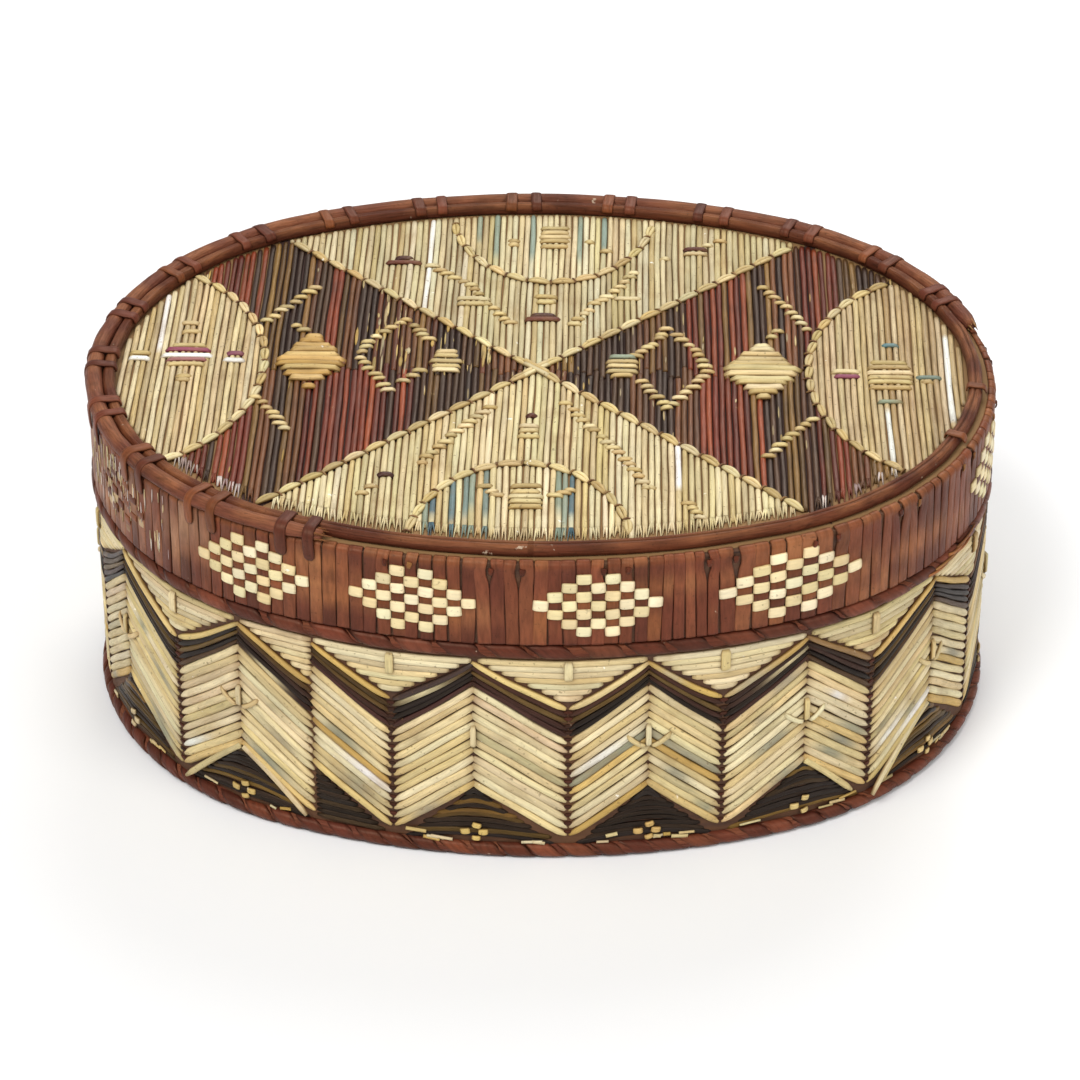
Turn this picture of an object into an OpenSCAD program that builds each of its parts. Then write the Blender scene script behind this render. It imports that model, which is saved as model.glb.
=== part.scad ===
// Oval birchbark box with a lift-off lid, quill-covered top and wall,
// a root-wrapped lid band with woven checks, and root rings at rim, shoulder and foot.
// Millimetres. The box stands on z = 0, long axis on X, front towards -Y.

/* [Overall] */
// Length of the oval over the lid band
box_l = 200; // [160:1:260]
// Width of the oval over the lid band
box_w = 156; // [124:1:200]
// Height from the floor to the top of the rim
box_h = 78; // [64:1:110]
// Radius of the oval at its two ends
end_r = 72.9; // [58:0.1:74]

/* [Lid] */
// Height of the lid from its lower edge to the top of the rim
lid_h = 23; // [18:0.5:32]
// Width left by one root strip of the band, with its gap
strip_pitch = 3; // [2.4:0.1:4]
// Thickness of the root strips
strip_t = 0.5; // [0.4:0.05:0.8]
// Bark thickness of hoop, lining, wall and collar
bark_t = 1.2; // [0.8:0.1:2]
// Depth of the quilled panel below the rim
panel_drop = 3.1; // [2.8:0.1:6]
// Number of woven check diamonds spread over the back of the band
back_diamonds = 6; // [3:1:8]

/* [Quills] */
// Distance between neighbouring lid quills
quill_pitch = 1.7; // [1.4:0.05:2.2]
// Gap between neighbouring quills
quill_gap = 0.16; // [0.12:0.01:0.3]
// Height of a flattened quill
quill_h = 0.7; // [0.5:0.05:1]
// Length of one stitch of the couched lines
couch_pitch = 6; // [4:0.2:9]
// Number of chevron arms round the wall
arm_count = 31; // [25:2:41]
// Number of slanting quills in one chevron arm
arm_quills = 17; // [15:1:22]

/* [Rings] */
// Height of the foot ring
foot_h = 3.2; // [2.6:0.1:5]
// Height of the shoulder ring under the lid
shoulder_h = 3.4; // [2.6:0.1:5]
// Distance between the lashings of the foot ring
foot_lash_pitch = 6.5; // [5:0.5:12]
// Distance between the lashings of the shoulder ring
shoulder_lash_pitch = 9.6; // [6:0.2:14]
// Distance between the paired lashings of the rim
rim_lash_pitch = 23; // [14:1:30]
// Direction of the rim cap's first broken end, seen from above
cap_from = 16; // [10:1:60]
// Direction of the rim cap's second broken end, seen from above
cap_to = 252.5; // [200:0.5:262]

/* [Hidden] */
oval_a = box_l/2;
oval_b = box_w/2;
side_r = (pow(oval_a - end_r, 2) + oval_b*oval_b - end_r*end_r)/(2*(oval_b - end_r));
end_c = oval_a - end_r;
side_c = side_r - oval_b;
turn = atan2(end_c, side_c);
q_side = side_r*turn*PI/180;
q_end = end_r*(90 - turn)*PI/180;
round_l = 4*(q_side + q_end);
// Pattern scale against the measured box
sx = oval_a/100;
sy = oval_b/78;
// Heights
seat_gap = 0.3;
touch = 0.03;
lid_z = box_h - lid_h;
shoulder_top = lid_z - seat_gap;
shoulder_z = shoulder_top - shoulder_h;
panel_z = box_h - panel_drop;
quill_top = panel_z + touch + quill_h;
cap_h = 2.55;
cap_w = 3.2;
cap_bulge = 0.4;
root_w = 2.65;
bare_root_w = 3;
fold_top = box_h - cap_h - touch;
root_top = box_h - 0.4;
hoop_top = fold_top - strip_t - touch;
floor_z = 0.6;
floor_top = floor_z + bark_t + 0.4;
// Offsets from the oval, outward positive
hoop_off = -strip_t - touch;
lining_off = hoop_off - bark_t - touch;
panel_off = lining_off - touch;
collar_off = lining_off - bark_t*0.7 - 0.8;
wall_off = -quill_h - 0.06;
root_off = -6;
field_off = root_off - 0.3;
ring_in = collar_off + 0.15;
foot_bulge = 0.45;
shoulder_bulge = 0.2;
// Half the joint between two butted lengths of root, in degrees
root_butt = 0.03;
// Lashings
lash_t = 0.4;
lash_gap = 0.05;
lash_tilt = 18;
foot_lash_w = 2.6;
shoulder_lash_w = 2.4;
rim_lash_w = 2.4;
rim_lash_drop = 5;
rim_pair_half = 3;
// Bare turn left between a broken end of the cap and its nearest lashing
cap_end = 1.2;
// Turns between which single loops are left on the bare root
loop_from = 60;
loop_to = 100;
// Counts
strip_n = round(round_l/strip_pitch);
strip_w = round_l/strip_n - 0.18;
hoop_n = strip_n;
foot_lash_n = round(round_l/foot_lash_pitch);
shoulder_lash_n = round(round_l/shoulder_lash_pitch);
rim_pair_n = round(round_l/rim_lash_pitch);
col_n = floor(2*(oval_a + field_off)/quill_pitch);
quill_w = quill_pitch - quill_gap;
// Chevron heights, at the peaks and at the points of the V
peak_hi = shoulder_z - 1.0;
vee_hi = peak_hi - 11;
peak_lo = foot_h + 14.4;
vee_lo = foot_h + 0.9;
// Walk round the box at the measured size
measured_l = 569;
first_seam = -49.3*round_l/measured_l;
rim_pair_from = -51.2*round_l/measured_l;
arm_pitch = round_l/arm_count;
// How far the hand-laid seams at the front stray, from two seams left of the first one
seam_stray = [2.1, 1.8, 1.2, 0.4, -0.2, 1.6, 0.3, -1.7, -1.2, -2.6, -1.3];
// Rows of woven checks on the band
check_mid = (lid_z + hoop_top)/2;
check_row = (hoop_top - lid_z)*0.22;
check_h = check_row*0.58;
check_top = check_mid + 1.5*check_row + check_h/2;

// Turn of the outward normal, in degrees from the front centre, after a walk of s along the oval
function turn_at(s) =
  let (t = (s % round_l + round_l) % round_l, k = 180/PI)
  t < q_side ? t/side_r*k :
  t < q_side + 2*q_end ? turn + (t - q_side)/end_r*k :
  t < 3*q_side + 2*q_end ? 180 - turn + (t - q_side - 2*q_end)/side_r*k :
  t < 3*q_side + 4*q_end ? 180 + turn + (t - 3*q_side - 2*q_end)/end_r*k :
  360 - turn + (t - 3*q_side - 4*q_end)/side_r*k;

// Point of the oval grown by off, where the normal has turned by f
function oval_pt(f, off) =
  let (n = [sin(f), -cos(f)])
  f < turn || f > 360 - turn ? [0, side_c] + (side_r + off)*n :
  f < 180 - turn ? [end_c, 0] + (end_r + off)*n :
  f < 180 + turn ? [0, -side_c] + (side_r + off)*n :
  [-end_c, 0] + (end_r + off)*n;

function oval_at(s, off) = oval_pt(turn_at(s), off);

// Half width of the oval, grown by off, across the box at x
function half_w(x, off) =
  let (u = abs(x))
  u <= (side_r + off)*sin(turn) ? sqrt(pow(side_r + off, 2) - u*u) - side_c :
  sqrt(max(0, pow(end_r + off, 2) - pow(u - end_c, 2)));

module oval_2d(off, n, s0 = 0) {
  polygon([for (i = [0:n - 1]) oval_at(s0 + i*round_l/n, off)]);
}

// Upright band between two offsets
module oval_band(off_out, off_in, z0, z1, n) {
  translate([0, 0, z0])
    linear_extrude(z1 - z0)
      difference() {
        oval_2d(off_out, n);
        oval_2d(off_in, n);
      }
}

// One arc of a root: a profile given as offset and height, swept from turn f0 to turn f1
module root_arc(cx, cy, rad, f0, f1) {
  translate([cx, cy, 0])
    rotate([0, 0, f0 - 90 + root_butt])
      rotate_extrude(angle = f1 - f0 - 2*root_butt, $fn = 180)
        translate([rad, 0])
          children();
}

// Lengths of root along the oval between two turns, one for each of its arcs
module root_round(from, to) {
  arcs = [for (h = [0:180:360]) each [
    [end_c*cos(h), 0, end_r, h + turn, h + 180 - turn],
    [0, -side_c*cos(h), side_r, h + 180 - turn, h + 180 + turn]]];
  for (a = arcs) {
    f0 = max(a[3], from);
    f1 = min(a[4], to);
    if (f1 - f0 > 3*root_butt)
      root_arc(a[0], a[1], a[2], f0, f1) children();
  }
}

module root_ring() {
  root_round(turn, turn + 360) children();
}

// Places a child at the walk s, with X along the oval and -Y outward
module at_walk(s, off) {
  p = oval_at(s, off);
  translate([p[0], p[1], 0])
    rotate([0, 0, turn_at(s)])
      children();
}

// Flat-backed quill on an upright face: X along the face, -Y outward
module wall_quill(x0, z0, x1, z1, w, h) {
  len = norm([x1 - x0, z1 - z0]);
  translate([x0, 0, z0])
    rotate([0, -atan2(z1 - z0, x1 - x0), 0])
      rotate([90, 0, 90])
        linear_extrude(len)
          polygon([[0, -w/2], [0, w/2], [-h, w*0.3], [-h, -w*0.3]]);
}

// Flat-backed quill lying on the lid from p to q, with its back at height z
module lid_quill(p, q, z, w, h) {
  d = q - p;
  translate([p[0], p[1], z])
    rotate([0, 0, atan2(d[1], d[0])])
      rotate([90, 0, 90])
        linear_extrude(norm(d))
          polygon([[-w/2, 0], [w/2, 0], [w*0.3, h], [-w*0.3, h]]);
}

// Chevron arms
function stray(k) =
  let (j = (k + 2) % arm_count)
  j < len(seam_stray) ? seam_stray[j] : 0;
function seam_s(k) = first_seam + k*arm_pitch + stray(k);
function seam(k) = oval_at(seam_s(k), wall_off);
// An arm falls towards its right end when k is even; the odd arm left over falls too
function falls(k) = k % 2 == 0;

module on_arm(k) {
  p = seam(k);
  q = seam(k + 1);
  translate([p[0], p[1], 0])
    rotate([0, 0, atan2(q[1] - p[1], q[0] - p[0])])
      translate([0, -touch, 0])
        children();
}

function arm_w(k) = norm(seam(k + 1) - seam(k));

// Quill number j of every arm, counted from the top
module chevron_rows(j0, j1) {
  for (k = [0:arm_count - 1], j = [j0:j1]) {
    t = (j + 0.5)/arm_quills;
    zp = peak_hi + (peak_lo - peak_hi)*t;
    zv = vee_hi + (vee_lo - vee_hi)*t;
    w = arm_w(k);
    pitch = (peak_hi - peak_lo)/arm_quills*cos(atan2(zp - zv, w));
    cut = 1;
    za = falls(k) ? zp : zv;
    zb = falls(k) ? zv : zp;
    on_arm(k)
      wall_quill(cut, za + (zb - za)*cut/w, w - cut, zb - (zb - za)*cut/w, pitch - quill_gap, quill_h);
  }
}

module base_floor() {
  color([0.62, 0.42, 0.25])
    translate([0, 0, floor_z])
      linear_extrude(floor_top - floor_z)
        oval_2d(ring_in - touch, 132);
}

// Section of a root ring: flat at the back, rounded and bulging outwards
module ring_profile(z0, h, bulge) {
  edge = 0.7;
  translate([0, z0])
    polygon([[ring_in, 0], [bulge - 1.3, 0], [bulge - 0.35, edge], [bulge, h*0.35], [bulge, h*0.65],
      [bulge - 0.35, h - edge], [bulge - 1.3, h], [ring_in, h]]);
}

module foot_ring() {
  color([0.36, 0.17, 0.1])
    root_ring() ring_profile(0, foot_h, foot_bulge);
}

// Flat strap lying slantwise over a root ring
module strap(z0, h, w, bulge) {
  near = bulge + lash_gap;
  far = near + lash_t;
  ease = 0.12;
  translate([0, 0, z0 + h/2])
    rotate([0, lash_tilt, 0])
      translate([-w/2, 0, 0])
        rotate([90, 0, 90])
          linear_extrude(w)
            polygon([[ease - near, h*0.36], [-near, h*0.3], [-near, -h*0.3], [ease - near, -h*0.36],
              [ease - far, -h*0.36], [-far, -h*0.3], [-far, h*0.3], [ease - far, h*0.36]]);
}

module foot_ring_lashings() {
  color([0.45, 0.22, 0.13])
    for (i = [0:foot_lash_n - 1])
      at_walk((i + 0.5)*round_l/foot_lash_n, 0)
        strap(0, foot_h, foot_lash_w, foot_bulge);
}

module base_wall_bark() {
  color([0.55, 0.38, 0.24])
    translate([0, 0, foot_h + touch])
      linear_extrude(shoulder_z - foot_h - 2*touch)
        difference() {
          polygon([for (k = [0:arm_count - 1]) seam(k)]);
          oval_2d(collar_off + 0.2, 132);
        }
}

module base_collar() {
  color([0.7, 0.5, 0.32])
    oval_band(collar_off, collar_off - bark_t, floor_top + touch, panel_z - bark_t - 2, 132);
}

module shoulder_ring() {
  color([0.33, 0.15, 0.09])
    root_ring() ring_profile(shoulder_z, shoulder_h, shoulder_bulge);
}

module shoulder_ring_lashings() {
  color([0.4, 0.19, 0.12])
    for (i = [0:shoulder_lash_n - 1])
      at_walk(i*round_l/shoulder_lash_n, 0)
        strap(shoulder_z, shoulder_h, shoulder_lash_w, shoulder_bulge);
}

module wall_border_quills() {
  color([0.88, 0.76, 0.5])
    chevron_rows(0, 0);
}

module wall_dark_chevron_quills() {
  color([0.2, 0.13, 0.11])
    chevron_rows(1, 4);
}

module wall_upper_cream_quills() {
  color([0.9, 0.82, 0.6])
    chevron_rows(5, 9);
}

module wall_faded_quills() {
  color([0.62, 0.61, 0.42])
    chevron_rows(10, 11);
}

module wall_lower_cream_quills() {
  color([0.9, 0.82, 0.6])
    chevron_rows(12, arm_quills - 1);
}

// Level quills between the shoulder ring and the arms, in two halves that meet at the V
module wall_triangle_quills() {
  rows = 7;
  pitch = (peak_hi - vee_hi)/(rows + 1);
  color([0.91, 0.83, 0.62])
    for (k = [0:arm_count - 1], j = [0:rows - 1]) {
      z = peak_hi + 0.35 - (j + 0.5)*pitch;
      w = arm_w(k);
      far = w*(1 - (j + 1.15)/(rows + 1.3));
      a = falls(k) ? w - far : 0.08;
      b = falls(k) ? w - 0.08 : far;
      on_arm(k)
        wall_quill(a, z, b, z, pitch - quill_gap, quill_h);
    }
}

// Level dark quills between the arms and the foot ring, in two halves that meet below the peak
module wall_foot_quills() {
  rows = 8;
  span = peak_lo - foot_h - 2.2;
  pitch = span/rows;
  color([0.17, 0.12, 0.1])
    for (k = [0:arm_count - 1], j = [0:rows - 1]) {
      z = foot_h + 0.2 + (j + 0.5)*pitch;
      w = arm_w(k);
      far = w*(1 - (j + 1.75)/(rows + 1.6));
      a = falls(k) ? 0.08 : w - far;
      b = falls(k) ? far : w - 0.08;
      on_arm(k)
        wall_quill(a, z, b, z, pitch - quill_gap, quill_h);
    }
}

module wall_triangle_ties() {
  color([0.86, 0.76, 0.52])
    for (k = [1:2:arm_count - 2])
      at_walk(seam_s(k), wall_off + touch + quill_h + 0.1)
        wall_quill(0, peak_hi - 4.6, 0, peak_hi + 0.2, 2.1, 0.6);
}

module wall_peak_ties() {
  z = peak_lo + (peak_hi - peak_lo)*0.39;
  color([0.88, 0.78, 0.55])
    for (k = [2:2:arm_count - 1]) {
      at_walk(seam_s(k), wall_off + touch + quill_h + 0.1)
        wall_quill(0, z - 1.5, 0, z + 3.5, 1.3, 0.6);
      on_arm(k)
        translate([0, -quill_h - touch, 0])
          wall_quill(1.5, z - 1.4, 4.6, z + 1.4, 1.2, 0.6);
      on_arm(k - 1)
        translate([arm_w(k - 1), -quill_h - touch, 0])
          wall_quill(-4.6, z + 1.4, -1.5, z - 1.4, 1.2, 0.6);
    }
}

// Small crosses of quill low on the dark triangles
module wall_foot_ties() {
  z = foot_h + 3;
  lift = quill_h + touch;
  color([0.85, 0.76, 0.55])
    for (k = [2:2:arm_count - 1]) {
      at_walk(seam_s(k), wall_off + touch + quill_h + 0.1)
        wall_quill(0, z - 2, 0, z + 2, 1.3, 0.6);
      on_arm(k)
        translate([0, -lift, 0])
          wall_quill(1.1, z, 4, z, 1.4, 0.6);
      on_arm(k - 1)
        translate([arm_w(k - 1), -lift, 0])
          wall_quill(-4, z, -1.1, z, 1.4, 0.6);
    }
}

// Root sewing that shows between the quill ends at the points of the V
module wall_seam_stitches() {
  color([0.3, 0.12, 0.08])
    for (k = [1:2:arm_count - 2])
      at_walk(seam_s(k), wall_off + touch)
        wall_quill(0, vee_lo + 0.6, 0, vee_hi - 1.5, 0.8, 0.4);
}

module lid_panel_bark() {
  color([0.5, 0.34, 0.22])
    translate([0, 0, panel_z - bark_t])
      linear_extrude(bark_t)
        oval_2d(panel_off, 132);
}

module lid_hoop_bark() {
  color([0.55, 0.38, 0.24])
    oval_band(hoop_off, hoop_off - bark_t, lid_z, hoop_top, hoop_n);
}

module lid_lining() {
  color([0.72, 0.52, 0.33])
    oval_band(lining_off, lining_off - bark_t*0.7, lid_z + 0.4, panel_z - bark_t - touch, hoop_n);
}

// Upright root strips, folded in over the top edge of the hoop
module lid_root_strips() {
  color([0.42, 0.19, 0.12])
    for (i = [0:strip_n - 1]) {
      p = oval_at(i*round_l/strip_n, hoop_off);
      q = oval_at((i + 1)*round_l/strip_n, hoop_off);
      translate([(p[0] + q[0])/2, (p[1] + q[1])/2, 0])
        rotate([0, 0, atan2(q[1] - p[1], q[0] - p[0])])
          translate([-strip_w/2, -touch, 0])
            rotate([90, 0, 90])
              linear_extrude(strip_w)
                polygon([[0, lid_z], [-strip_t, lid_z], [-strip_t, fold_top - 0.3],
                  [-strip_t + 0.3, fold_top], [bark_t, fold_top], [bark_t, hoop_top + touch],
                  [0, hoop_top + touch]]);
    }
}

// Woven checks: rows in each of the nine columns of a diamond
check_rows = [1, 2, 3, 4, 3, 4, 3, 2, 1];
// Walk from the front centre to the diamonds of the front, on the measured box
front_walks = [-104, -61.5, -25.5, 13, 55, 122];
diamond_n = len(front_walks) + back_diamonds;

// Walk to diamond d: the front ones as measured, the others spread over the rest of the band
function diamond_s(d) =
  let (n = len(front_walks), last = front_walks[n - 1], rest = measured_l + front_walks[0] - last,
    at = d < n ? front_walks[d] : last + rest*(d - n + 1)/(back_diamonds + 1))
  at*round_l/measured_l;

module lid_check_quills() {
  color([0.92, 0.85, 0.66])
    for (d = [0:diamond_n - 1], c = [0:8]) {
      i = round(diamond_s(d)*strip_n/round_l) + c - 4;
      p = oval_at(i*round_l/strip_n, hoop_off);
      q = oval_at((i + 1)*round_l/strip_n, hoop_off);
      translate([(p[0] + q[0])/2, (p[1] + q[1])/2, 0])
        rotate([0, 0, atan2(q[1] - p[1], q[0] - p[0])])
          translate([0, -strip_t - 2*touch, 0])
            for (j = [0:check_rows[c] - 1]) {
              z = check_mid + (j - (check_rows[c] - 1)/2)*check_row;
              wall_quill(-strip_w/2, z, strip_w/2, z, check_h, 0.4);
            }
    }
}

module inner_root_profile(w) {
  h = root_top - panel_z - touch;
  translate([root_off, panel_z + touch])
    polygon([[0, 0.6], [0, h*0.7], [w*0.25, h], [w*0.75, h], [w, h*0.7], [w, bark_t], [w - 1, 0], [0.6, 0]]);
}

// The stretch that the rim cap covers, given the same section all along
module capped_root() {
  root_round(cap_from + 90, cap_to + 90) children();
}

// The stretch where the cap is broken away
module bare_root() {
  root_round(cap_to + 90, cap_from + 450) children();
}

// Inner root, pressed narrower under the cap
module lid_inner_rim_root() {
  color([0.48, 0.24, 0.13]) {
    capped_root() inner_root_profile(root_w);
    bare_root() inner_root_profile(bare_root_w);
  }
}

module cap_profile() {
  translate([0, fold_top + touch])
    polygon([[0.2 - cap_w, 0], [cap_bulge - 0.3, 0], [cap_bulge, cap_h*0.4], [cap_bulge - 0.4, cap_h*0.8],
      [cap_bulge - 1.3, cap_h], [1 - cap_w, cap_h], [0.1 - cap_w, cap_h*0.8], [-cap_w, cap_h*0.4]]);
}

// Rim cap root, broken away along the front and the right end
module lid_rim_cap_root() {
  color([0.38, 0.17, 0.1])
    capped_root() cap_profile();
}

// Walk to a lashing of the rim, from the pair at the cap's second broken end
function rim_lash_s(i, e) = rim_pair_from + i*round_l/rim_pair_n + e;
function has_cap(s) =
  let (f = turn_at(s))
  f > cap_from + 90 + cap_end && f < cap_to + 90 - cap_end;

// Pairs of lashings over cap and inner root
module lid_rim_lashings() {
  out = -cap_bulge - 2*lash_gap;
  inn = lash_gap - root_off;
  hi = box_h + touch;
  low = fold_top - rim_lash_drop;
  foot = panel_z + 1.6;
  color([0.42, 0.2, 0.12])
    for (i = [0:rim_pair_n - 1], e = [-rim_pair_half, rim_pair_half]) {
      s = rim_lash_s(i, e);
      if (has_cap(s))
        at_walk(s, 0)
          translate([-rim_lash_w/2, 0, 0])
            rotate([90, 0, 90])
              linear_extrude(rim_lash_w)
                polygon([[out, low], [out, hi - 0.5], [0.6, hi], [inn - 0.65, hi], [inn, hi - 0.9],
                  [inn, foot], [inn + lash_t, foot], [inn + lash_t, hi - 0.7], [inn - 0.45, hi + lash_t],
                  [0.4, hi + lash_t], [out - lash_t, hi - 0.3], [out - lash_t, low]]);
    }
}

// Broken lashings where the cap is gone: an outer tab, and at the box's end a loop on the root
module lid_lashing_stubs() {
  low = check_top + 0.1;
  color([0.42, 0.2, 0.12])
    for (i = [0:rim_pair_n - 1], e = [-rim_pair_half, rim_pair_half]) {
      s = rim_lash_s(i, e);
      if (!has_cap(s))
        at_walk(s, 0) {
          translate([-rim_lash_w/2, -lash_gap - lash_t, low])
            cube([rim_lash_w, lash_t, fold_top - 0.3 - low]);
          if (e > 0 && turn_at(s) > loop_from && turn_at(s) < loop_to)
            translate([-rim_lash_w/2, -root_off - bare_root_w*0.75, root_top + touch])
              cube([rim_lash_w, bare_root_w*0.5, lash_t]);
        }
    }
}

// Columns of lid quills
function col_x(i) = (i - (col_n - 1)/2)*quill_pitch;
cross_k = 0.98*sy/sx;
function rim_y(x) = half_w(x, field_off) - 0.2;
function cross_y(x) = min(cross_k*abs(x), rim_y(x));
med_rx = 23.5*sx;
med_ry = 33*sy;
med_c = 72*sy;
end_rx = 35*sx;
end_ry = 45*sy;
function in_med(x, cx) = abs(x - cx) < med_rx;
function med_y(x, cx) = med_c - med_ry*sqrt(max(0, 1 - pow((x - cx)/med_rx, 2)));
function end_y(x) = end_ry*sqrt(max(0, 1 - pow((abs(x) - 95*sx)/end_rx, 2)));
back_cx = 2.5*sx;
front_cx = -2*sx;
groove = 0.3;

module column(x, y0, y1) {
  if (y1 - y0 > 2.4)
    lid_quill([x, y0 + groove], [x, y1 - groove], panel_z + touch, quill_w, quill_h);
}

// Cream sector between two arms of the cross, up to its medallion
module cream_sector(side, cx) {
  for (i = [0:col_n - 1]) {
    x = col_x(i);
    top = in_med(x, cx) ? min(med_y(x, cx), rim_y(x)) : rim_y(x);
    if (top > cross_y(x))
      column(x, side > 0 ? cross_y(x) : -top, side > 0 ? top : -cross_y(x));
  }
}

// Whether x, on the measured box, lies in one of the spans
function within(x, spans) = len([for (b = spans) if (x/sx >= b[0] && x/sx < b[1]) b]) > 0;
blue_back = [[-16, -14], [-12, -10.2], [-2.8, -1.2], [7.8, 9.4], [13.8, 15.4]];
blue_front = [[-23, -19], [-17.4, -15.4], [-14.6, -11], [-9.8, -8], [5, 9.6]];

// Half-oval medallion at the back or front edge; blue picks its dyed quills
module edge_medallion(side, cx, blue) {
  for (i = [0:col_n - 1]) {
    x = col_x(i);
    if (in_med(x, cx) && within(x, side > 0 ? blue_back : blue_front) == blue) {
      y0 = max(med_y(x, cx), cross_y(x));
      column(x, side > 0 ? y0 : -rim_y(x), side > 0 ? rim_y(x) : -y0);
    }
  }
}

// Plum-dyed blocks in the back and front halves of the dark sectors
plum_back = [[-71, -63], [-47, -43], [33, 48], [60, 69]];
plum_front = [[-71, -61], [-50, -27], [36, 50], [60, 69]];

// Dark sector columns, cut at the middle and at the end medallions
module dark_sector(plum) {
  for (i = [0:col_n - 1], up = [true, false]) {
    x = col_x(i);
    y0 = end_y(x);
    y1 = cross_y(x);
    if (within(x, up ? plum_back : plum_front) == plum && y1 - y0 > 0)
      column(x, up ? y0 : -y1, up ? y1 : -y0);
  }
}

module lid_back_cream_quills() {
  color([0.9, 0.82, 0.6])
    cream_sector(1, back_cx);
}

module lid_front_cream_quills() {
  color([0.92, 0.84, 0.62])
    cream_sector(-1, front_cx);
}

module lid_dark_quills() {
  color([0.2, 0.14, 0.1])
    dark_sector(false);
}

module lid_plum_quills() {
  color([0.36, 0.16, 0.14])
    dark_sector(true);
}

module lid_side_medallion_quills() {
  color([0.9, 0.82, 0.6])
    for (i = [0:col_n - 1]) {
      x = col_x(i);
      y = min(end_y(x), rim_y(x));
      if (y > 0)
        column(x, -y, y);
    }
}

module lid_end_medallion_quills() {
  color([0.88, 0.8, 0.58]) {
    edge_medallion(1, back_cx, false);
    edge_medallion(-1, front_cx, false);
  }
}

module lid_blue_quills() {
  color([0.42, 0.54, 0.54]) {
    edge_medallion(1, back_cx, true);
    edge_medallion(-1, front_cx, true);
  }
}

// Couched line: slanting stitches end to end from p to q
module couched(p, q) {
  n = max(1, round(norm(q - p)/couch_pitch));
  d = (q - p)/n;
  for (i = [0:n - 1])
    lid_quill(p + d*(i + 0.06), p + d*(i + 0.94), quill_top + touch, 1.5, 0.7);
}

module lid_cross_couching() {
  reach = 57*sx;
  color([0.85, 0.74, 0.5])
    for (u = [-1, 1], v = [-1, 1])
      couched([u*2.2*sx, v*2.2*sx*cross_k], [u*reach, v*reach*cross_k]);
}

module lid_medallion_couching() {
  steps = 12;
  color([0.85, 0.74, 0.5]) {
    for (side = [-1, 1], i = [0:steps - 1]) {
      cx = side > 0 ? back_cx : front_cx;
      a = -78 + 156*(i + 0.08)/steps;
      b = -78 + 156*(i + 0.92)/steps;
      lid_quill([cx + med_rx*sin(a), side*(med_c - med_ry*cos(a))],
        [cx + med_rx*sin(b), side*(med_c - med_ry*cos(b))], quill_top + touch, 1.5, 0.7);
    }
    for (side = [-1, 1], i = [0:2*steps - 7]) {
      a = -62 + 124*(i + 0.08)/(2*steps - 6);
      b = -62 + 124*(i + 0.92)/(2*steps - 6);
      lid_quill([side*(95*sx - end_rx*cos(a)), end_ry*sin(a)],
        [side*(95*sx - end_rx*cos(b)), end_ry*sin(b)], quill_top + touch, 1.5, 0.7);
    }
  }
}

// Solid diamonds of level quills laid over the dark sectors
module lid_satin_diamonds() {
  rows = 12;
  color([0.87, 0.77, 0.53])
    for (side = [-1, 1], j = [0:rows - 1]) {
      t = (j + 0.5)/rows*2 - 1;
      w = 8*sx*(1 - abs(t)) + 0.7;
      y = 12*sy*t;
      lid_quill([side*50*sx - w, y], [side*50*sx + w, y], quill_top + touch, 24*sy/rows - 0.2, 0.7);
    }
}

// Row of short level stitches stepping from p to q
module stitches(p, q) {
  n = max(2, round(norm(q - p)/2.8));
  for (i = [0:n - 1]) {
    c = p + (q - p)*i/(n - 1);
    lid_quill(c - [1.2, 0], c + [1.2, 0], quill_top + touch, 1.4, 0.6);
  }
}

// Stitched lines from one point to another on the measured box: cream sectors, then dark ones
cream_runs = [[-25, 45.7, -17, 38.5], [-10.5, 27, -6.5, 20.2], [41, 59.2, 38.5, 57],
  [21.5, 43.7, 18, 36.5], [12.5, 28.8, 8, 20.2], [-9.5, -16.3, -23.5, -39.3], [-34, -49.3, -35.5, -51.5],
  [7, -14.8, 18, -33.3], [18.8, -36.3, 25, -48.3], [33, -54.3, 36, -60]];
dark_runs = [[-51, 35.2, -61, 20.2], [-58.4, -16.4, -54, -26.3], [-54, 18.2, -52.5, 15.8],
  [-29.5, 21.5, -37, 13], [-38, 10.4, -39.5, 5], [-38.4, 2.2, -32, -9.3], [-27.5, 18.5, -24.5, 13],
  [-25.5, -1.6, -29, -6], [29, 18.2, 23.4, 8.2], [31, 15.4, 38, 0.2], [37, -2.3, 30.5, -13.2],
  [23, -4.6, 28.8, -15.8], [51, 37.7, 60, 19.2], [60, -20.2, 50.5, -34.8], [53.5, 17.9, 52.5, 15.2]];

module lid_stitch_lines() {
  color([0.84, 0.73, 0.48])
    for (r = concat(cream_runs, dark_runs))
      stitches([r[0]*sx, r[1]*sy], [r[2]*sx, r[3]*sy]);
}

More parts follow.
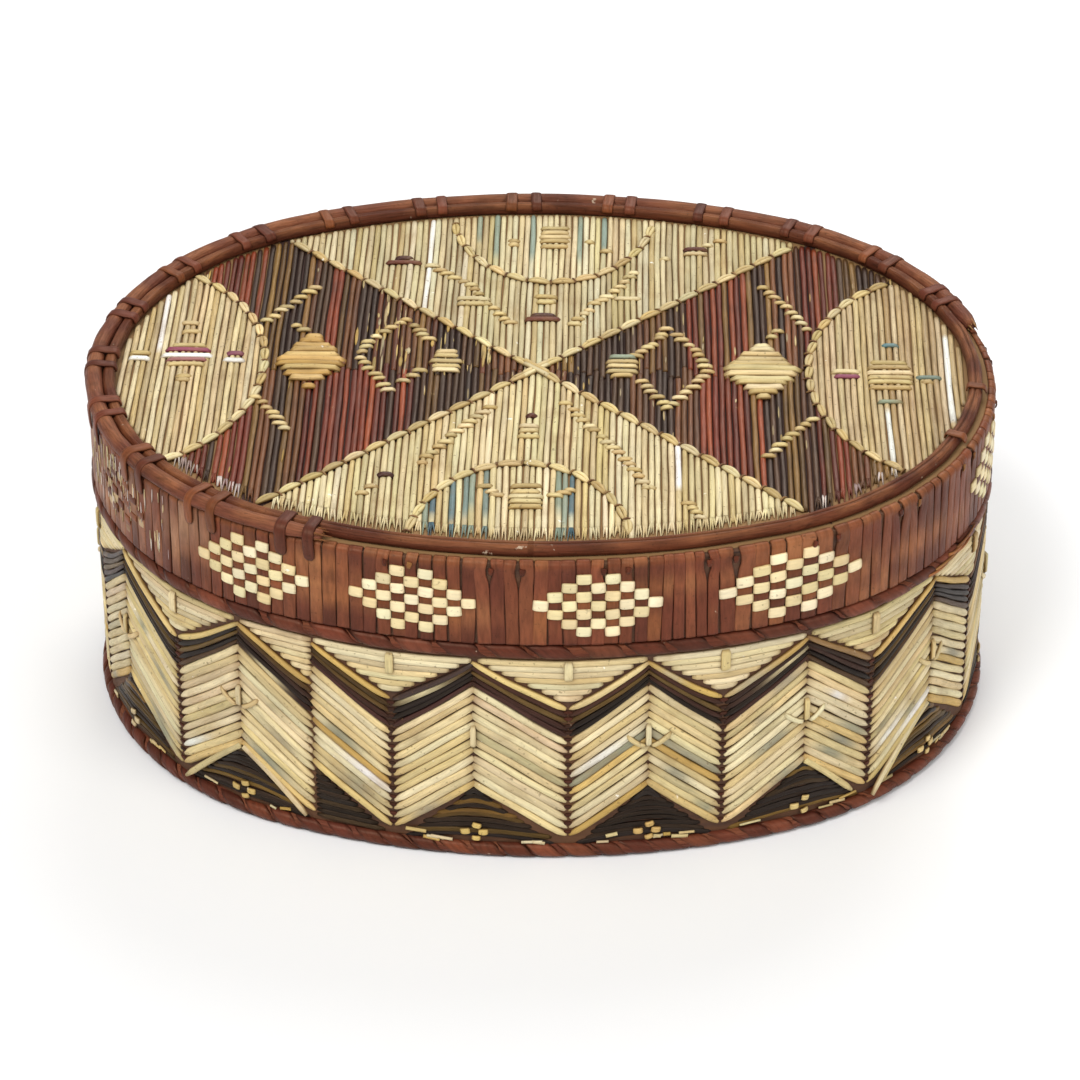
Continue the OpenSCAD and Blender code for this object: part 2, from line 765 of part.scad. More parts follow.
// Stacks of level bars on the measured box: centre, rows and width
medallion_bars = [[3, 60, 6, 7.5], [-6.5, 57.2, 2, 3], [11, 57.7, 1, 3], [15, 54, 1, 3], [-1, -52.5, 6, 7],
  [-8.3, -50.5, 2, 3], [6.8, -50.7, 2, 3], [-77.5, 4.5, 5, 8.4], [-78.5, 18.5, 1, 5], [-77.5, -5.5, 1, 5],
  [-87, 4.7, 1, 4.4], [-68, 4.7, 1, 4], [77.8, -0.8, 5, 9], [78.5, 11.7, 1, 4.4], [77.5, -12.3, 1, 5.6],
  [67, -0.5, 1, 3], [86, -1.8, 1, 4.4], [86, -5, 1, 3]];
sector_bars = [[-20, 3.2, 5, 7], [19, 1.7, 5, 7.4], [1.5, 31, 2, 6], [1, 23.6, 1, 5], [1, 21.7, 1, 9],
  [-31.5, 49, 1, 5], [-31.5, 47, 1, 9], [35.5, 54.7, 1, 4.6], [35.5, 52.8, 1, 6], [-15.3, 29.8, 2, 7],
  [20, 31.7, 1, 6.4], [28.5, 50.2, 1, 3], [-1, -26, 3, 5], [-0.5, -20.3, 1, 3], [-31, -44.8, 1, 3.4]];

module lid_bar_motifs() {
  row = 1.75*sy;
  color([0.8, 0.72, 0.55])
    for (b = concat(medallion_bars, sector_bars), j = [0:b[2] - 1]) {
      from_mid = j - (b[2] - 1)/2;
      y = b[1]*sy + from_mid*row;
      half = b[3]/2*(1 - 0.5*abs(from_mid)/b[2]);
      lid_quill([b[0]*sx - half, y], [b[0]*sx + half, y], quill_top + touch, 1.5*sy, 0.6);
    }
}

base_floor();
foot_ring();
foot_ring_lashings();
base_wall_bark();
base_collar();
shoulder_ring();
shoulder_ring_lashings();
wall_border_quills();
wall_dark_chevron_quills();
wall_upper_cream_quills();
wall_faded_quills();
wall_lower_cream_quills();
wall_triangle_quills();
wall_triangle_ties();
wall_foot_quills();
wall_foot_ties();
wall_peak_ties();
wall_seam_stitches();
lid_panel_bark();
lid_hoop_bark();
lid_lining();
lid_root_strips();
lid_check_quills();
lid_inner_rim_root();
lid_rim_cap_root();
lid_rim_lashings();
lid_lashing_stubs();
lid_back_cream_quills();
lid_front_cream_quills();
lid_dark_quills();
lid_plum_quills();
lid_side_medallion_quills();
lid_end_medallion_quills();
lid_blue_quills();
lid_cross_couching();
lid_medallion_couching();
lid_satin_diamonds();
lid_stitch_lines();
lid_bar_motifs();
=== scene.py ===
import math

import bpy
import numpy as np
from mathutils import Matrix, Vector


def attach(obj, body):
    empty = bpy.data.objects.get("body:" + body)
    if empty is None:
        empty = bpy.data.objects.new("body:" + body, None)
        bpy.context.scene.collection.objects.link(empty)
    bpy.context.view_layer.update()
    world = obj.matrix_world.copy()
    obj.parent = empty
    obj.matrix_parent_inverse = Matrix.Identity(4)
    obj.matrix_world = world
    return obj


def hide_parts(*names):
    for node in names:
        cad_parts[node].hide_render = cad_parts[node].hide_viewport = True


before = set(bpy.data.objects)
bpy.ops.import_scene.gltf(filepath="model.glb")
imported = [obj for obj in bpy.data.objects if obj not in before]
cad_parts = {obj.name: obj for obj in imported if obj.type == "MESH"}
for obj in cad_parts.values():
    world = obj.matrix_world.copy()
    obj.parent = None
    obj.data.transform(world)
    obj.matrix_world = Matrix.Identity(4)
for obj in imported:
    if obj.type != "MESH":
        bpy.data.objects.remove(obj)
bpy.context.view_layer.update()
scene = bpy.context.scene

# Sizes in millimetres, the same as the CAD part's
MM = 0.001
TAU = 2 * math.pi
OVAL_A, OVAL_B, END_R, BOX_H, LID_H = 100.0, 78.0, 72.9, 78.0, 23.0
SIDE_R = ((OVAL_A - END_R) ** 2 + OVAL_B ** 2 - END_R ** 2) / (2 * (OVAL_B - END_R))
END_C = OVAL_A - END_R
SIDE_C = SIDE_R - OVAL_B
TURN = math.atan2(END_C, SIDE_C)
Q_SIDE = SIDE_R * TURN
Q_END = END_R * (math.pi / 2 - TURN)
ROUND_L = 4 * (Q_SIDE + Q_END)
QUILL_H = 0.7
TOUCH = 0.03
STRIP_T = 0.5
LID_Z = BOX_H - LID_H
FOOT_H = 3.2
SHOULDER_H = 3.4
SHOULDER_Z = LID_Z - 0.3 - SHOULDER_H
PANEL_Z = BOX_H - 3.1
QUILL_TOP = PANEL_Z + TOUCH + QUILL_H
FOLD_TOP = BOX_H - 2.55 - TOUCH
ROOT_TOP = BOX_H - 0.4
HOOP_TOP = FOLD_TOP - STRIP_T - TOUCH
HOOP_OFF = -STRIP_T - TOUCH
WALL_OFF = -QUILL_H - 0.06
ROOT_OFF = -6.0
FIELD_OFF = ROOT_OFF - 0.3
RING_IN = -3.25
STRIP_PITCH, RIM_PITCH = 3.0, 23
STRIP_N = round(ROUND_L / STRIP_PITCH)
ARM_N = 31
PEAK_HI = SHOULDER_Z - 1.0
VEE_HI = PEAK_HI - 11
PEAK_LO = FOOT_H + 14.4
VEE_LO = FOOT_H + 0.9
FIRST_SEAM = -49.3
ARM_PITCH = ROUND_L / ARM_N
SEAM_STRAY = (2.1, 1.8, 1.2, 0.4, -0.2, 1.6, 0.3, -1.7, -1.2, -2.6, -1.3)
FRONT_WALKS = (-104, -61.5, -25.5, 13, 55, 122)
BACK_DIAMONDS = 6
CAP_FROM, CAP_TO, CAP_END = 16.0, 252.5, 1.2
RIM_PAIRS = round(ROUND_L / RIM_PITCH)
RIM_FROM = -51.2
LOOP_FROM, LOOP_TO = 60.0, 100.0

# Slope of the lid's cross, and how far out the bark between its arms is dark
SLOPE = 0.98
DYED_TO = 62.0
# No point of a piece lies lower than this
LOWEST = 0.02
# Share of its height that a strand goes down into what it lies on
SINK = 0.15
# Range of the starting points of slow waves
PHASE = 6.28
UP = np.array([0, 0, 1.0])

rng = np.random.RandomState(8192)


def jit(a):
    return float(rng.uniform(-a, a))


def chance(p):
    return rng.uniform() < p


# Shapes along a strand
def unit(v):
    return np.clip(v, 0, 1)


def rise(low, v):
    """From low, where v is 0, up to 1."""
    return low + (1 - low) * v


def arch(t):
    """Half a wave, 0 at both ends of t."""
    return np.sin(math.pi * t)


def ends(x, x0, x1, reach):
    """0 at the ends of a stretch, and 1 further in than reach."""
    return unit(np.minimum(x - x0, x1 - x) / reach)


def blend(a, b, amount):
    return a * (1 - amount) + b * amount


def run(pts):
    """Length walked up to each point of a broken line."""
    return np.concatenate([[0], np.cumsum(np.linalg.norm(np.diff(pts, axis=0), axis=1))])


def signed(s):
    """A walk as its place to the right or left of the front's middle."""
    return (s + ROUND_L / 2) % ROUND_L - ROUND_L / 2


# The oval
def turn_at(s):
    """How far the normal has turned after the walk s. It turns evenly along each of the oval's arcs."""
    walks = np.cumsum([0, Q_SIDE, 2 * Q_END, 2 * Q_SIDE, 2 * Q_END, Q_SIDE])
    turns = [0, TURN, math.pi - TURN, math.pi + TURN, TAU - TURN, TAU]
    return np.interp(np.mod(np.asarray(s, float), ROUND_L), walks, turns)


def oval_pt(f, off):
    """Point of the oval grown by off where the normal has turned by f, and that normal."""
    f = np.mod(np.asarray(f, float), TAU)
    off = np.broadcast_to(np.asarray(off, float), f.shape)
    nx, ny = np.sin(f), -np.cos(f)
    conds = [(f < TURN) | (f > TAU - TURN), f < math.pi - TURN, f < math.pi + TURN]
    cx = np.select(conds, [0.0, END_C, 0.0], -END_C)
    cy = np.select(conds, [SIDE_C, 0.0, -SIDE_C], 0.0)
    rad = np.select(conds, [SIDE_R, END_R, SIDE_R], END_R) + off
    return cx + rad * nx, cy + rad * ny, nx, ny


def on_oval(s, off, z):
    """Points and outward normals at the walk s, offset off and height z."""
    s, off, z = np.broadcast_arrays(np.asarray(s, float), np.asarray(off, float), np.asarray(z, float))
    x, y, nx, ny = oval_pt(turn_at(s), off)
    return np.stack([x, y, z], -1), np.stack([nx, ny, np.zeros_like(nx)], -1)


def chord(s0, s1, off):
    """Ends of the straight stretch between two walks, its length, its direction and its outward normal."""
    (p, q), _ = on_oval([s0, s1], off, 0)
    w = np.linalg.norm(q - p)
    d = (q - p) / w
    return p, q, w, d, np.array([d[1], -d[0], 0])


def half_w(x, off):
    """Half width of the oval, grown by off, across the box at x."""
    u = abs(x)
    if u <= (SIDE_R + off) * math.sin(TURN):
        return math.sqrt((SIDE_R + off) ** 2 - u * u) - SIDE_C
    return math.sqrt(max(0.0, (END_R + off) ** 2 - (u - END_C) ** 2))


# Colours
def lin(h):
    c = np.array([int(h[i:i + 2], 16) / 255 for i in (1, 3, 5)])
    return np.where(c <= 0.04045, c / 12.92, ((c + 0.055) / 1.055) ** 2.4)


def pick(names, spread=0.1):
    """One colour of the list, a little lighter or darker."""
    c = lin(names[rng.randint(len(names))])
    return np.clip(c * (1 + jit(spread)) * (1 + rng.uniform(-0.03, 0.03, 3)), 0, 1)


CREAM = ["#dccb9c", "#e2d2a6", "#d6c390", "#e4d6ae", "#d8c594", "#cdb57d", "#e0d0a2", "#c8b486"]
WALL_CREAM = ["#dcc99a", "#d6c08b", "#e0d1a7", "#cfb881", "#dcca9d", "#d2bb87", "#cfba91"]
STRAW = ["#cfae66", "#d8bc7a", "#c29f55", "#ddc48c"]
FADED = ["#a79878", "#b5a67c", "#969074", "#c6b58a", "#8f8a72"]
WHITE = ["#f4f1e6"]
BLACK = ["#3d291e", "#33221a", "#46301f", "#2d1e18", "#4d3524"]
BROWN = ["#5e3820", "#6b4224", "#523019", "#78492a", "#64351f"]
GOLD = ["#6e4f26", "#7c5b2e", "#5e4322", "#8a6836"]
PLUM = ["#722e1b", "#80371f", "#622618", "#8e4224", "#6c2a1c", "#572117"]
BLUE = ["#74877f", "#5a7576", "#87937f", "#46646e", "#97a08a"]
PALE_BLUE = ["#8a9a88", "#97a08a", "#7d8f84"]
ROOT = ["#653122", "#713a26", "#5d2c20", "#79402b", "#6c3524", "#58291d", "#743d29"]
# Worn root colour; on the tops of roots and the folds of strips it is also painted highlight
WORN_ROOT_AND_HIGHLIGHT = ["#9c6038", "#8a5032", "#a86c44"]
RIM = ["#6e3b22", "#60301f", "#7c4629"]
STITCH = ["#d8c28c", "#cbb27a", "#e0cd9c", "#d2ba80", "#c3a86e"]
TAN = ["#c9b38a", "#b9a072", "#d3c096"]
CHECK = ["#ecdcae", "#e6d3a2", "#f0e2ba", "#e2cd9a"]
FROSTED = ["#c4b2aa", "#a8908a", "#d6cac0"]
FOOT_GOLD = ["#6b4f24", "#7a5c2c", "#54401f"]
FOOT_DARK = ["#241c18", "#2c211a", "#1e1815", "#262120", "#3f3020"]
THREAD = ["#7d5a32", "#6e4a28", "#8c6a3e"]
SEWING = ["#3a170f", "#4a2015", "#2c130d"]
WORN_CHECK = ["#8d6a4a", "#7a4e34", "#b79a72"]
# Tint that strand ends darken towards: partly grime, partly painted shade where they go in or under
END_GRIME_AND_SHADE = np.array([0.42, 0.31, 0.2])


class Heap:
    """Collects many small strands into one mesh, with a tint and a strand coordinate."""

    def __init__(self):
        self.v, self.f, self.c, self.t = [], [], [], []
        self.n = 0

    def strand(self, path, up, width, height, col, k=9, flat=0.0):
        """A strand along path, flat underneath. Width, height and col are single or one per point."""
        path = np.asarray(path, float)
        m = len(path)
        up = np.broadcast_to(np.asarray(up, float), path.shape)
        tan = np.gradient(path, axis=0)
        tan /= np.maximum(np.linalg.norm(tan, axis=1, keepdims=True), 1e-9)
        up = up - tan * np.sum(up * tan, axis=1, keepdims=True)
        up /= np.maximum(np.linalg.norm(up, axis=1, keepdims=True), 1e-9)
        side = np.cross(tan, up)
        width = np.broadcast_to(np.asarray(width, float), (m,))
        height = np.broadcast_to(np.asarray(height, float), (m,))
        a = np.linspace(0, math.pi, k)
        ca = np.sign(np.cos(a)) * np.abs(np.cos(a)) ** (0.85 - 0.4 * flat)
        sa = np.sin(a) ** (0.85 - 0.5 * flat)
        sa[[0, -1]] = -SINK
        ring = (
            path[:, None, :]
            + side[:, None, :] * (ca[None, :, None] * width[:, None, None] / 2)
            + up[:, None, :] * (sa[None, :, None] * height[:, None, None])
        )
        self.tube(ring, path, col)

    def tube(self, ring, path, col):
        """Closes rows of section points into a strand with ends."""
        m, k = ring.shape[:2]
        idx = self.n + np.arange(m * k).reshape(m, k)
        nxt = np.roll(idx, -1, axis=1)
        self.f += np.stack([idx[:-1], idx[1:], nxt[1:], nxt[:-1]], -1).reshape(-1, 4).tolist()
        self.f += [idx[0].tolist(), idx[-1][::-1].tolist()]
        uv = np.zeros((m, k, 2))
        uv[..., 0] = (rng.uniform(0, 500) + run(path))[:, None]
        uv[..., 1] = np.linspace(0, 1, k)
        col = np.broadcast_to(np.asarray(col, float), (m, 3))
        self.add(ring.reshape(-1, 3), np.repeat(col, k, axis=0), uv.reshape(-1, 2))

    def add(self, verts, tints, uvs):
        self.v.append(verts)
        self.c.append(tints)
        self.t.append(uvs)
        self.n += len(verts)

    def make(self, mat, body, node, slot):
        """The object that takes the place of a CAD node."""
        name = node + "_look"
        me = bpy.data.meshes.new(name)
        v = np.concatenate(self.v)
        v[:, 2] = np.maximum(v[:, 2], LOWEST)
        me.from_pydata((v * MM).tolist(), [], self.f)
        me.polygons.foreach_set("use_smooth", [True] * len(me.polygons))
        c = np.clip(np.concatenate(self.c), 0, 1)
        tint = me.color_attributes.new("tint", "FLOAT_COLOR", "POINT")
        tint.data.foreach_set("color", np.concatenate([c, np.ones((len(c), 1))], 1).ravel().astype("float32"))
        uvl = me.uv_layers.new(name="strand")
        vi = np.zeros(len(me.loops), dtype=np.int32)
        me.loops.foreach_get("vertex_index", vi)
        uvl.data.foreach_set("uv", np.concatenate(self.t)[vi].ravel().astype("float32"))
        me.materials.append(mat)
        ob = bpy.data.objects.new(name, me)
        scene.collection.objects.link(ob)
        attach(ob, body)
        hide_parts(node)


def shade(col, walk, end, grime_and_shade=END_GRIME_AND_SHADE):
    """Tint along a strand: slow lighter and darker lengths, and darker where its ends go in: grime and
    painted shade.
    """
    slow = 1 + 0.07 * np.sin(walk * rng.uniform(0.12, 0.4) + rng.uniform(0, PHASE))
    # Where end is 0 the tint darkens: grime, and painted shade where the strand goes in or under
    return col[None, :] * slow[:, None] * (grime_and_shade + (1 - grime_and_shade) * end[:, None])


# Materials
def new_mat(name):
    mat = bpy.data.materials.new(name)
    mat.use_nodes = True
    nt = mat.node_tree
    return mat, nt, nt.nodes["Principled BSDF"]


def grey(v):
    return v if isinstance(v, (tuple, list, np.ndarray)) else (v, v, v)


def ramp(nt, fac, stops):
    r = nt.nodes.new("ShaderNodeValToRGB")
    el = r.color_ramp.elements
    while len(el) < len(stops):
        el.new(0.5)
    for e, (p, c) in zip(el, stops):
        e.position = p
        e.color = (*grey(c), 1)
    nt.links.new(fac, r.inputs["Fac"])
    return r.outputs["Color"]


def plug(nt, sock, val):
    """Gives a node's input a socket, a number, a vector or a colour."""
    if isinstance(val, bpy.types.NodeSocket):
        nt.links.new(val, sock)
    else:
        sock.default_value = (*val, 1) if sock.type == "RGBA" else val


def shader(nt, kind, **inputs):
    """A new node whose named inputs take sockets or plain values."""
    made = nt.nodes.new("ShaderNode" + kind)
    for name, val in inputs.items():
        plug(nt, made.inputs[name], val)
    return made


def mix(nt, fac, a, b, blend_type="MIX"):
    m = nt.nodes.new("ShaderNodeMix")
    m.data_type = "RGBA"
    m.blend_type = blend_type
    for name, val in (("Factor", fac), ("A", a), ("B", b)):
        plug(nt, m.inputs[name], val)
    return m.outputs["Result"]


def multiply(nt, a, b):
    return mix(nt, 1.0, a, b, "MULTIPLY")


def calc(nt, op, a, b=0.0):
    """A math node on sockets or plain numbers."""
    m = nt.nodes.new("ShaderNodeMath")
    m.operation = op
    for sock, val in zip(m.inputs, (a, b)):
        plug(nt, sock, val)
    return m.outputs[0]


def noise(nt, vec, scale, detail=3.0, rough=0.55):
    return shader(nt, "TexNoise", Vector=vec, Scale=scale, Detail=detail, Roughness=rough).outputs["Fac"]


def scaled(nt, vec, sx, sy, sz=1.0):
    return shader(nt, "Mapping", Vector=vec, Scale=(sx, sy, sz)).outputs["Vector"]


def place(nt):
    """Places on the object, in its own axes."""
    return shader(nt, "TexCoord").outputs["Object"]


def parts(nt, vec):
    """The X, Y and Z of a vector."""
    return shader(nt, "SeparateXYZ", Vector=vec).outputs


def bump(nt, bsdf, height, strength, depth):
    lumps = shader(nt, "Bump", Strength=strength, Distance=depth, Height=height)
    plug(nt, bsdf.inputs["Normal"], lumps.outputs["Normal"])


def set_bsdf(nt, bsdf, col, rough, gloss=0.5):
    for name, val in (("Base Color", col), ("Roughness", rough), ("Specular IOR Level", gloss)):
        plug(nt, bsdf.inputs[name], val)


def strand_mat(name, streak, edge, stain, rough=0.42, stain_amt=0.5, speck_amt=0.4, flake="#f3eee0",
               flake_from=0.72, grain=8.0, relief=0.4, gloss=0.45, gloss_tint=(1, 1, 1)):
    """Quill or split root: tinted strands with streaks, edges darkened by grime and painted shade, stains,
    specks and pale flakes.
    """
    mat, nt, bsdf = new_mat(name)
    tint = nt.nodes.new("ShaderNodeAttribute")
    tint.attribute_name = "tint"
    uv_map = nt.nodes.new("ShaderNodeUVMap")
    uv_map.uv_map = "strand"
    uv, obj = uv_map.outputs["UV"], place(nt)
    streaks = noise(nt, scaled(nt, uv, 0.22, grain), 1.0, 4.0, 0.6)
    col = multiply(nt, tint.outputs["Color"], ramp(nt, streaks, [(0.28, streak), (0.62, 1.0)]))
    # Darker at both sides of the strand, where it curves down beside its neighbours: grime and painted shade
    edges = ramp(nt, parts(nt, uv)["Y"], [(0.0, edge), (0.24, 1.0), (0.76, 1.0), (1.0, edge)])
    col = multiply(nt, col, edges)
    blot = noise(nt, obj, 95.0, 5.0, 0.62)
    col = mix(nt, ramp(nt, blot, [(0.52, 0.0), (0.76, stain_amt)]), col, lin(stain))
    speck = noise(nt, obj, 1100.0, 2.0, 0.5)
    col = mix(nt, ramp(nt, speck, [(0.66, 0.0), (0.72, speck_amt)]), col, lin(stain) * 0.45)
    pale = noise(nt, scaled(nt, obj, 300, 300, 300), 1.0, 4.0, 0.65)
    col = mix(nt, ramp(nt, pale, [(flake_from, 0.0), (flake_from + 0.03, 0.85)]), col, lin(flake))
    dull = ramp(nt, streaks, [(0.2, rough + 0.16), (0.8, rough - 0.08)])
    set_bsdf(nt, bsdf, col, dull, gloss)
    plug(nt, bsdf.inputs["Specular Tint"], gloss_tint)
    bump(nt, bsdf, streaks, relief, 0.00025)
    return mat


def bark_mat(name, base, dark, pale):
    """Bark sheet with level fibres and short lenticels."""
    mat, nt, bsdf = new_mat(name)
    obj = place(nt)
    fibre = noise(nt, scaled(nt, obj, 60, 60, 900), 1.0, 5.0, 0.6)
    patch = noise(nt, obj, 45.0, 4.0)
    lent = noise(nt, scaled(nt, obj, 90, 90, 1500), 1.0, 2.0, 0.5)
    col = mix(nt, ramp(nt, fibre, [(0.3, 0.0), (0.7, 1.0)]), lin(dark), lin(base))
    col = mix(nt, ramp(nt, patch, [(0.45, 0.0), (0.75, 0.6)]), col, lin(pale))
    col = mix(nt, ramp(nt, lent, [(0.66, 0.0), (0.72, 0.7)]), col, lin(dark) * 0.6)
    set_bsdf(nt, bsdf, col, 0.75)
    bump(nt, bsdf, fibre, 0.35, 0.0003)
    return mat


def panel_mat():
    """Bark under the lid quills: tan below the cream sectors, dark below the dyed ones."""
    mat, nt, bsdf = new_mat("lid_bark")
    xyz = parts(nt, place(nt))
    u, v = (calc(nt, "ABSOLUTE", xyz[axis]) for axis in "XY")
    between = calc(nt, "GREATER_THAN", calc(nt, "SUBTRACT", calc(nt, "MULTIPLY", u, SLOPE), v), 0.0)
    dyed = calc(nt, "SUBTRACT", between, calc(nt, "GREATER_THAN", u, DYED_TO * MM))
    set_bsdf(nt, bsdf, mix(nt, dyed, lin("#8a6840"), lin("#3a2118")), 0.85)
    return mat


DUST = "#b9a48c"
WARM = (1.0, 0.72, 0.5)
DYED = dict(stain_amt=0.4, speck_amt=0.3, flake="#a58a60", gloss_tint=WARM)
quill_mat = strand_mat("quill", 0.72, (0.36, 0.25, 0.14), "#94713f", speck_amt=0.55, flake_from=0.7,
                       gloss=0.35)
soiled_mat = strand_mat("soiled_quill", 0.6, (0.24, 0.15, 0.07), "#7a5730", speck_amt=0.6)
check_mat = strand_mat("check_quill", 0.85, (0.75, 0.66, 0.5), "#94713f", 0.5, 0.3, gloss=0.3)
dark_mat = strand_mat("dark_quill", 0.5, (0.36, 0.21, 0.16), "#1e130e", 0.33, gloss=0.42, **DYED)
wall_dark_mat = strand_mat("dark_wall_quill", 0.5, (0.36, 0.3, 0.28), "#171210", 0.4, gloss=0.22, **DYED)
root_mat = strand_mat("split_root", 0.6, 0.4, "#34150b", flake=DUST, grain=7.0, relief=0.6, gloss=0.3,
                      gloss_tint=WARM)
ring_mat = strand_mat("root", 0.45, 0.75, "#2e150c", 0.46, 0.6, flake=DUST, flake_from=0.69, grain=22.0,
                      relief=0.9, gloss=0.25, gloss_tint=WARM)
bark_dark = bark_mat("bark_under_quills", "#573519", "#3a2012", "#6b4524")
bark_inner = bark_mat("bark_inside", "#a87a4c", "#7d5532", "#c29a68")
lid_bark = panel_mat()

for node, mat in (
    ("base_floor", bark_inner), ("base_collar", bark_inner), ("lid_lining", bark_inner),
    ("base_wall_bark", bark_dark), ("lid_panel_bark", lid_bark), ("lid_hoop_bark", bark_dark),
):
    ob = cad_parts[node]
    ob.data.materials.clear()
    ob.data.materials.append(mat)


# Lid field
# The sewn pattern sits a little left of the oval's middle
PATTERN_X = -1.2
MED_RX, MED_RY, MED_C = 23.5, 33.0, 72.0
END_RX, END_RY, END_CX = 35.0, 45.0, 95.0
BACK_CX, FRONT_CX = 2.5, -2.0
# Dye along the dark sectors, from the left tip of each half to the right one
LEFT_UP = ((-71, PLUM), (-63, BLACK), (-61, GOLD), (-57, BLACK), (-53, GOLD), (-51, BLACK), (-47, PLUM),
           (-43, BROWN), (-40, BLACK), (-36, BROWN), (-24, BLACK), (-14, GOLD), (-11, BROWN))
LEFT_LOW = ((-71, PLUM), (-61, BROWN), (-57, BLACK), (-54, GOLD), (-52.5, BROWN), (-50, PLUM), (-27, BLACK),
            (-24, GOLD), (-21.5, BLACK), (-13, GOLD), (-11, BROWN))
RIGHT_UP = ((0, BROWN), (6, GOLD), (9, BLACK), (22, BROWN), (27, GOLD), (29.5, BLACK), (33, PLUM),
            (48, BLACK), (55, BROWN), (60, PLUM), (69, GOLD), (72, BLACK))
RIGHT_LOW = ((0, BROWN), (7, BLACK), (20, BROWN), (24, BLACK), (30, BROWN), (36, PLUM), (50, BLACK),
             (53, GOLD), (58, BROWN), (60, PLUM), (69, BROWN), (72, GOLD))
FRONT_BLUE = ((-23, -19), (-17.4, -15.4), (-14.6, -11), (-9.8, -8), (5, 9.6))
BACK_BLUE = ((-16, -14), (-12, -10.2), (-2.8, -1.2), (7.8, 9.4), (13.8, 15.4))
# How much darker age has made the left and the right medallion, and the cream sector at the back
SOILED = (np.array([0.93, 0.86, 0.81]), np.array([0.77, 0.68, 0.6]))
BACK_SOIL = 0.84
# Spacing of the lid's quills in the photograph, finer than the CAD part's, and widths of the plain and the
# dyed ones
QUILL_PITCH, CREAM_W, DYED_W = 1.39, 1.28, 1.25
# How far the split quills end from the front rim, and how often a dyed quill has a stray colour
SPLIT_L = 4.9
STRAY_DYE = 0.14
# Stretch of the left dark sector that has lost most of its dyed skin
SKINNED = (-42, -10)
# Bleached quills: x, and the stretch of y
BLEACHED = ((-26.5, 26, 68), (31, -48, -30), (-84, 5, 40), (90.5, -20, 16), (77, -46, -17))


def rim_y(x):
    return half_w(x, FIELD_OFF) - 0.1


def cross_y(x):
    return min(SLOPE * abs(x - PATTERN_X), rim_y(x))


def med_y(x, cx):
    return MED_C - MED_RY * math.sqrt(max(0.0, 1 - ((x - PATTERN_X - cx) / MED_RX) ** 2))


def end_y(x):
    return END_RY * math.sqrt(max(0.0, 1 - ((abs(x - PATTERN_X) - END_CX) / END_RX) ** 2))


def dye_at(x, up):
    bands = (LEFT_UP if up else LEFT_LOW) if x < 0 else (RIGHT_UP if up else RIGHT_LOW)
    tones = bands[0][1]
    for x0, t in bands:
        if x >= x0:
            tones = t
    return tones


def within(x, spans):
    return any(a <= x < b for a, b in spans)


def tines(heap, x, y, w, col):
    """Split tip of a quill at the front rim, ending near y."""
    t = np.linspace(0, 1, 6)
    for e in ((-0.3, 0.3) if chance(0.7) else (-0.36, 0, 0.36)):
        xs = x + w * e * (0.6 + 0.75 * t) + jit(0.3) * t
        ys = y + 7.2 - (4.4 + jit(1.3)) * t
        z = PANEL_Z + 0.3 - 0.12 * t + 0.2 * arch(t) + jit(0.12) * t
        width = (0.5 + jit(0.08)) * w * (1 - 0.75 * t)
        tints = shade(unit(col * (1.08 + jit(0.15))), ys, 1 - 0.4 * t)
        heap.strand(np.stack([xs, ys, z], 1), UP, width, 0.42 * (1 - 0.6 * t), tints, 5)


def sliver(heap, x, y, w, broad):
    """Pale sliver where the dyed skin of a quill has split off."""
    t = np.linspace(0, 1, 6)
    ys = y + (t - 0.5) * rng.uniform(1.5, 9.0 if broad else 6.0)
    xs = x + w * jit(0.25) + jit(0.15) * t
    full = np.sqrt(arch(t))
    width = rng.uniform(0.25, 1.0 if broad else 0.6) * rise(0.2, full)
    col = pick(TAN + STRAW, 0.2) * rng.uniform(0.6, 1.05)
    z = np.full(6, PANEL_Z + QUILL_H * 0.8)
    heap.strand(np.stack([xs, ys, z], 1), UP, width, 0.22 * rise(0.4, full), col, 5)


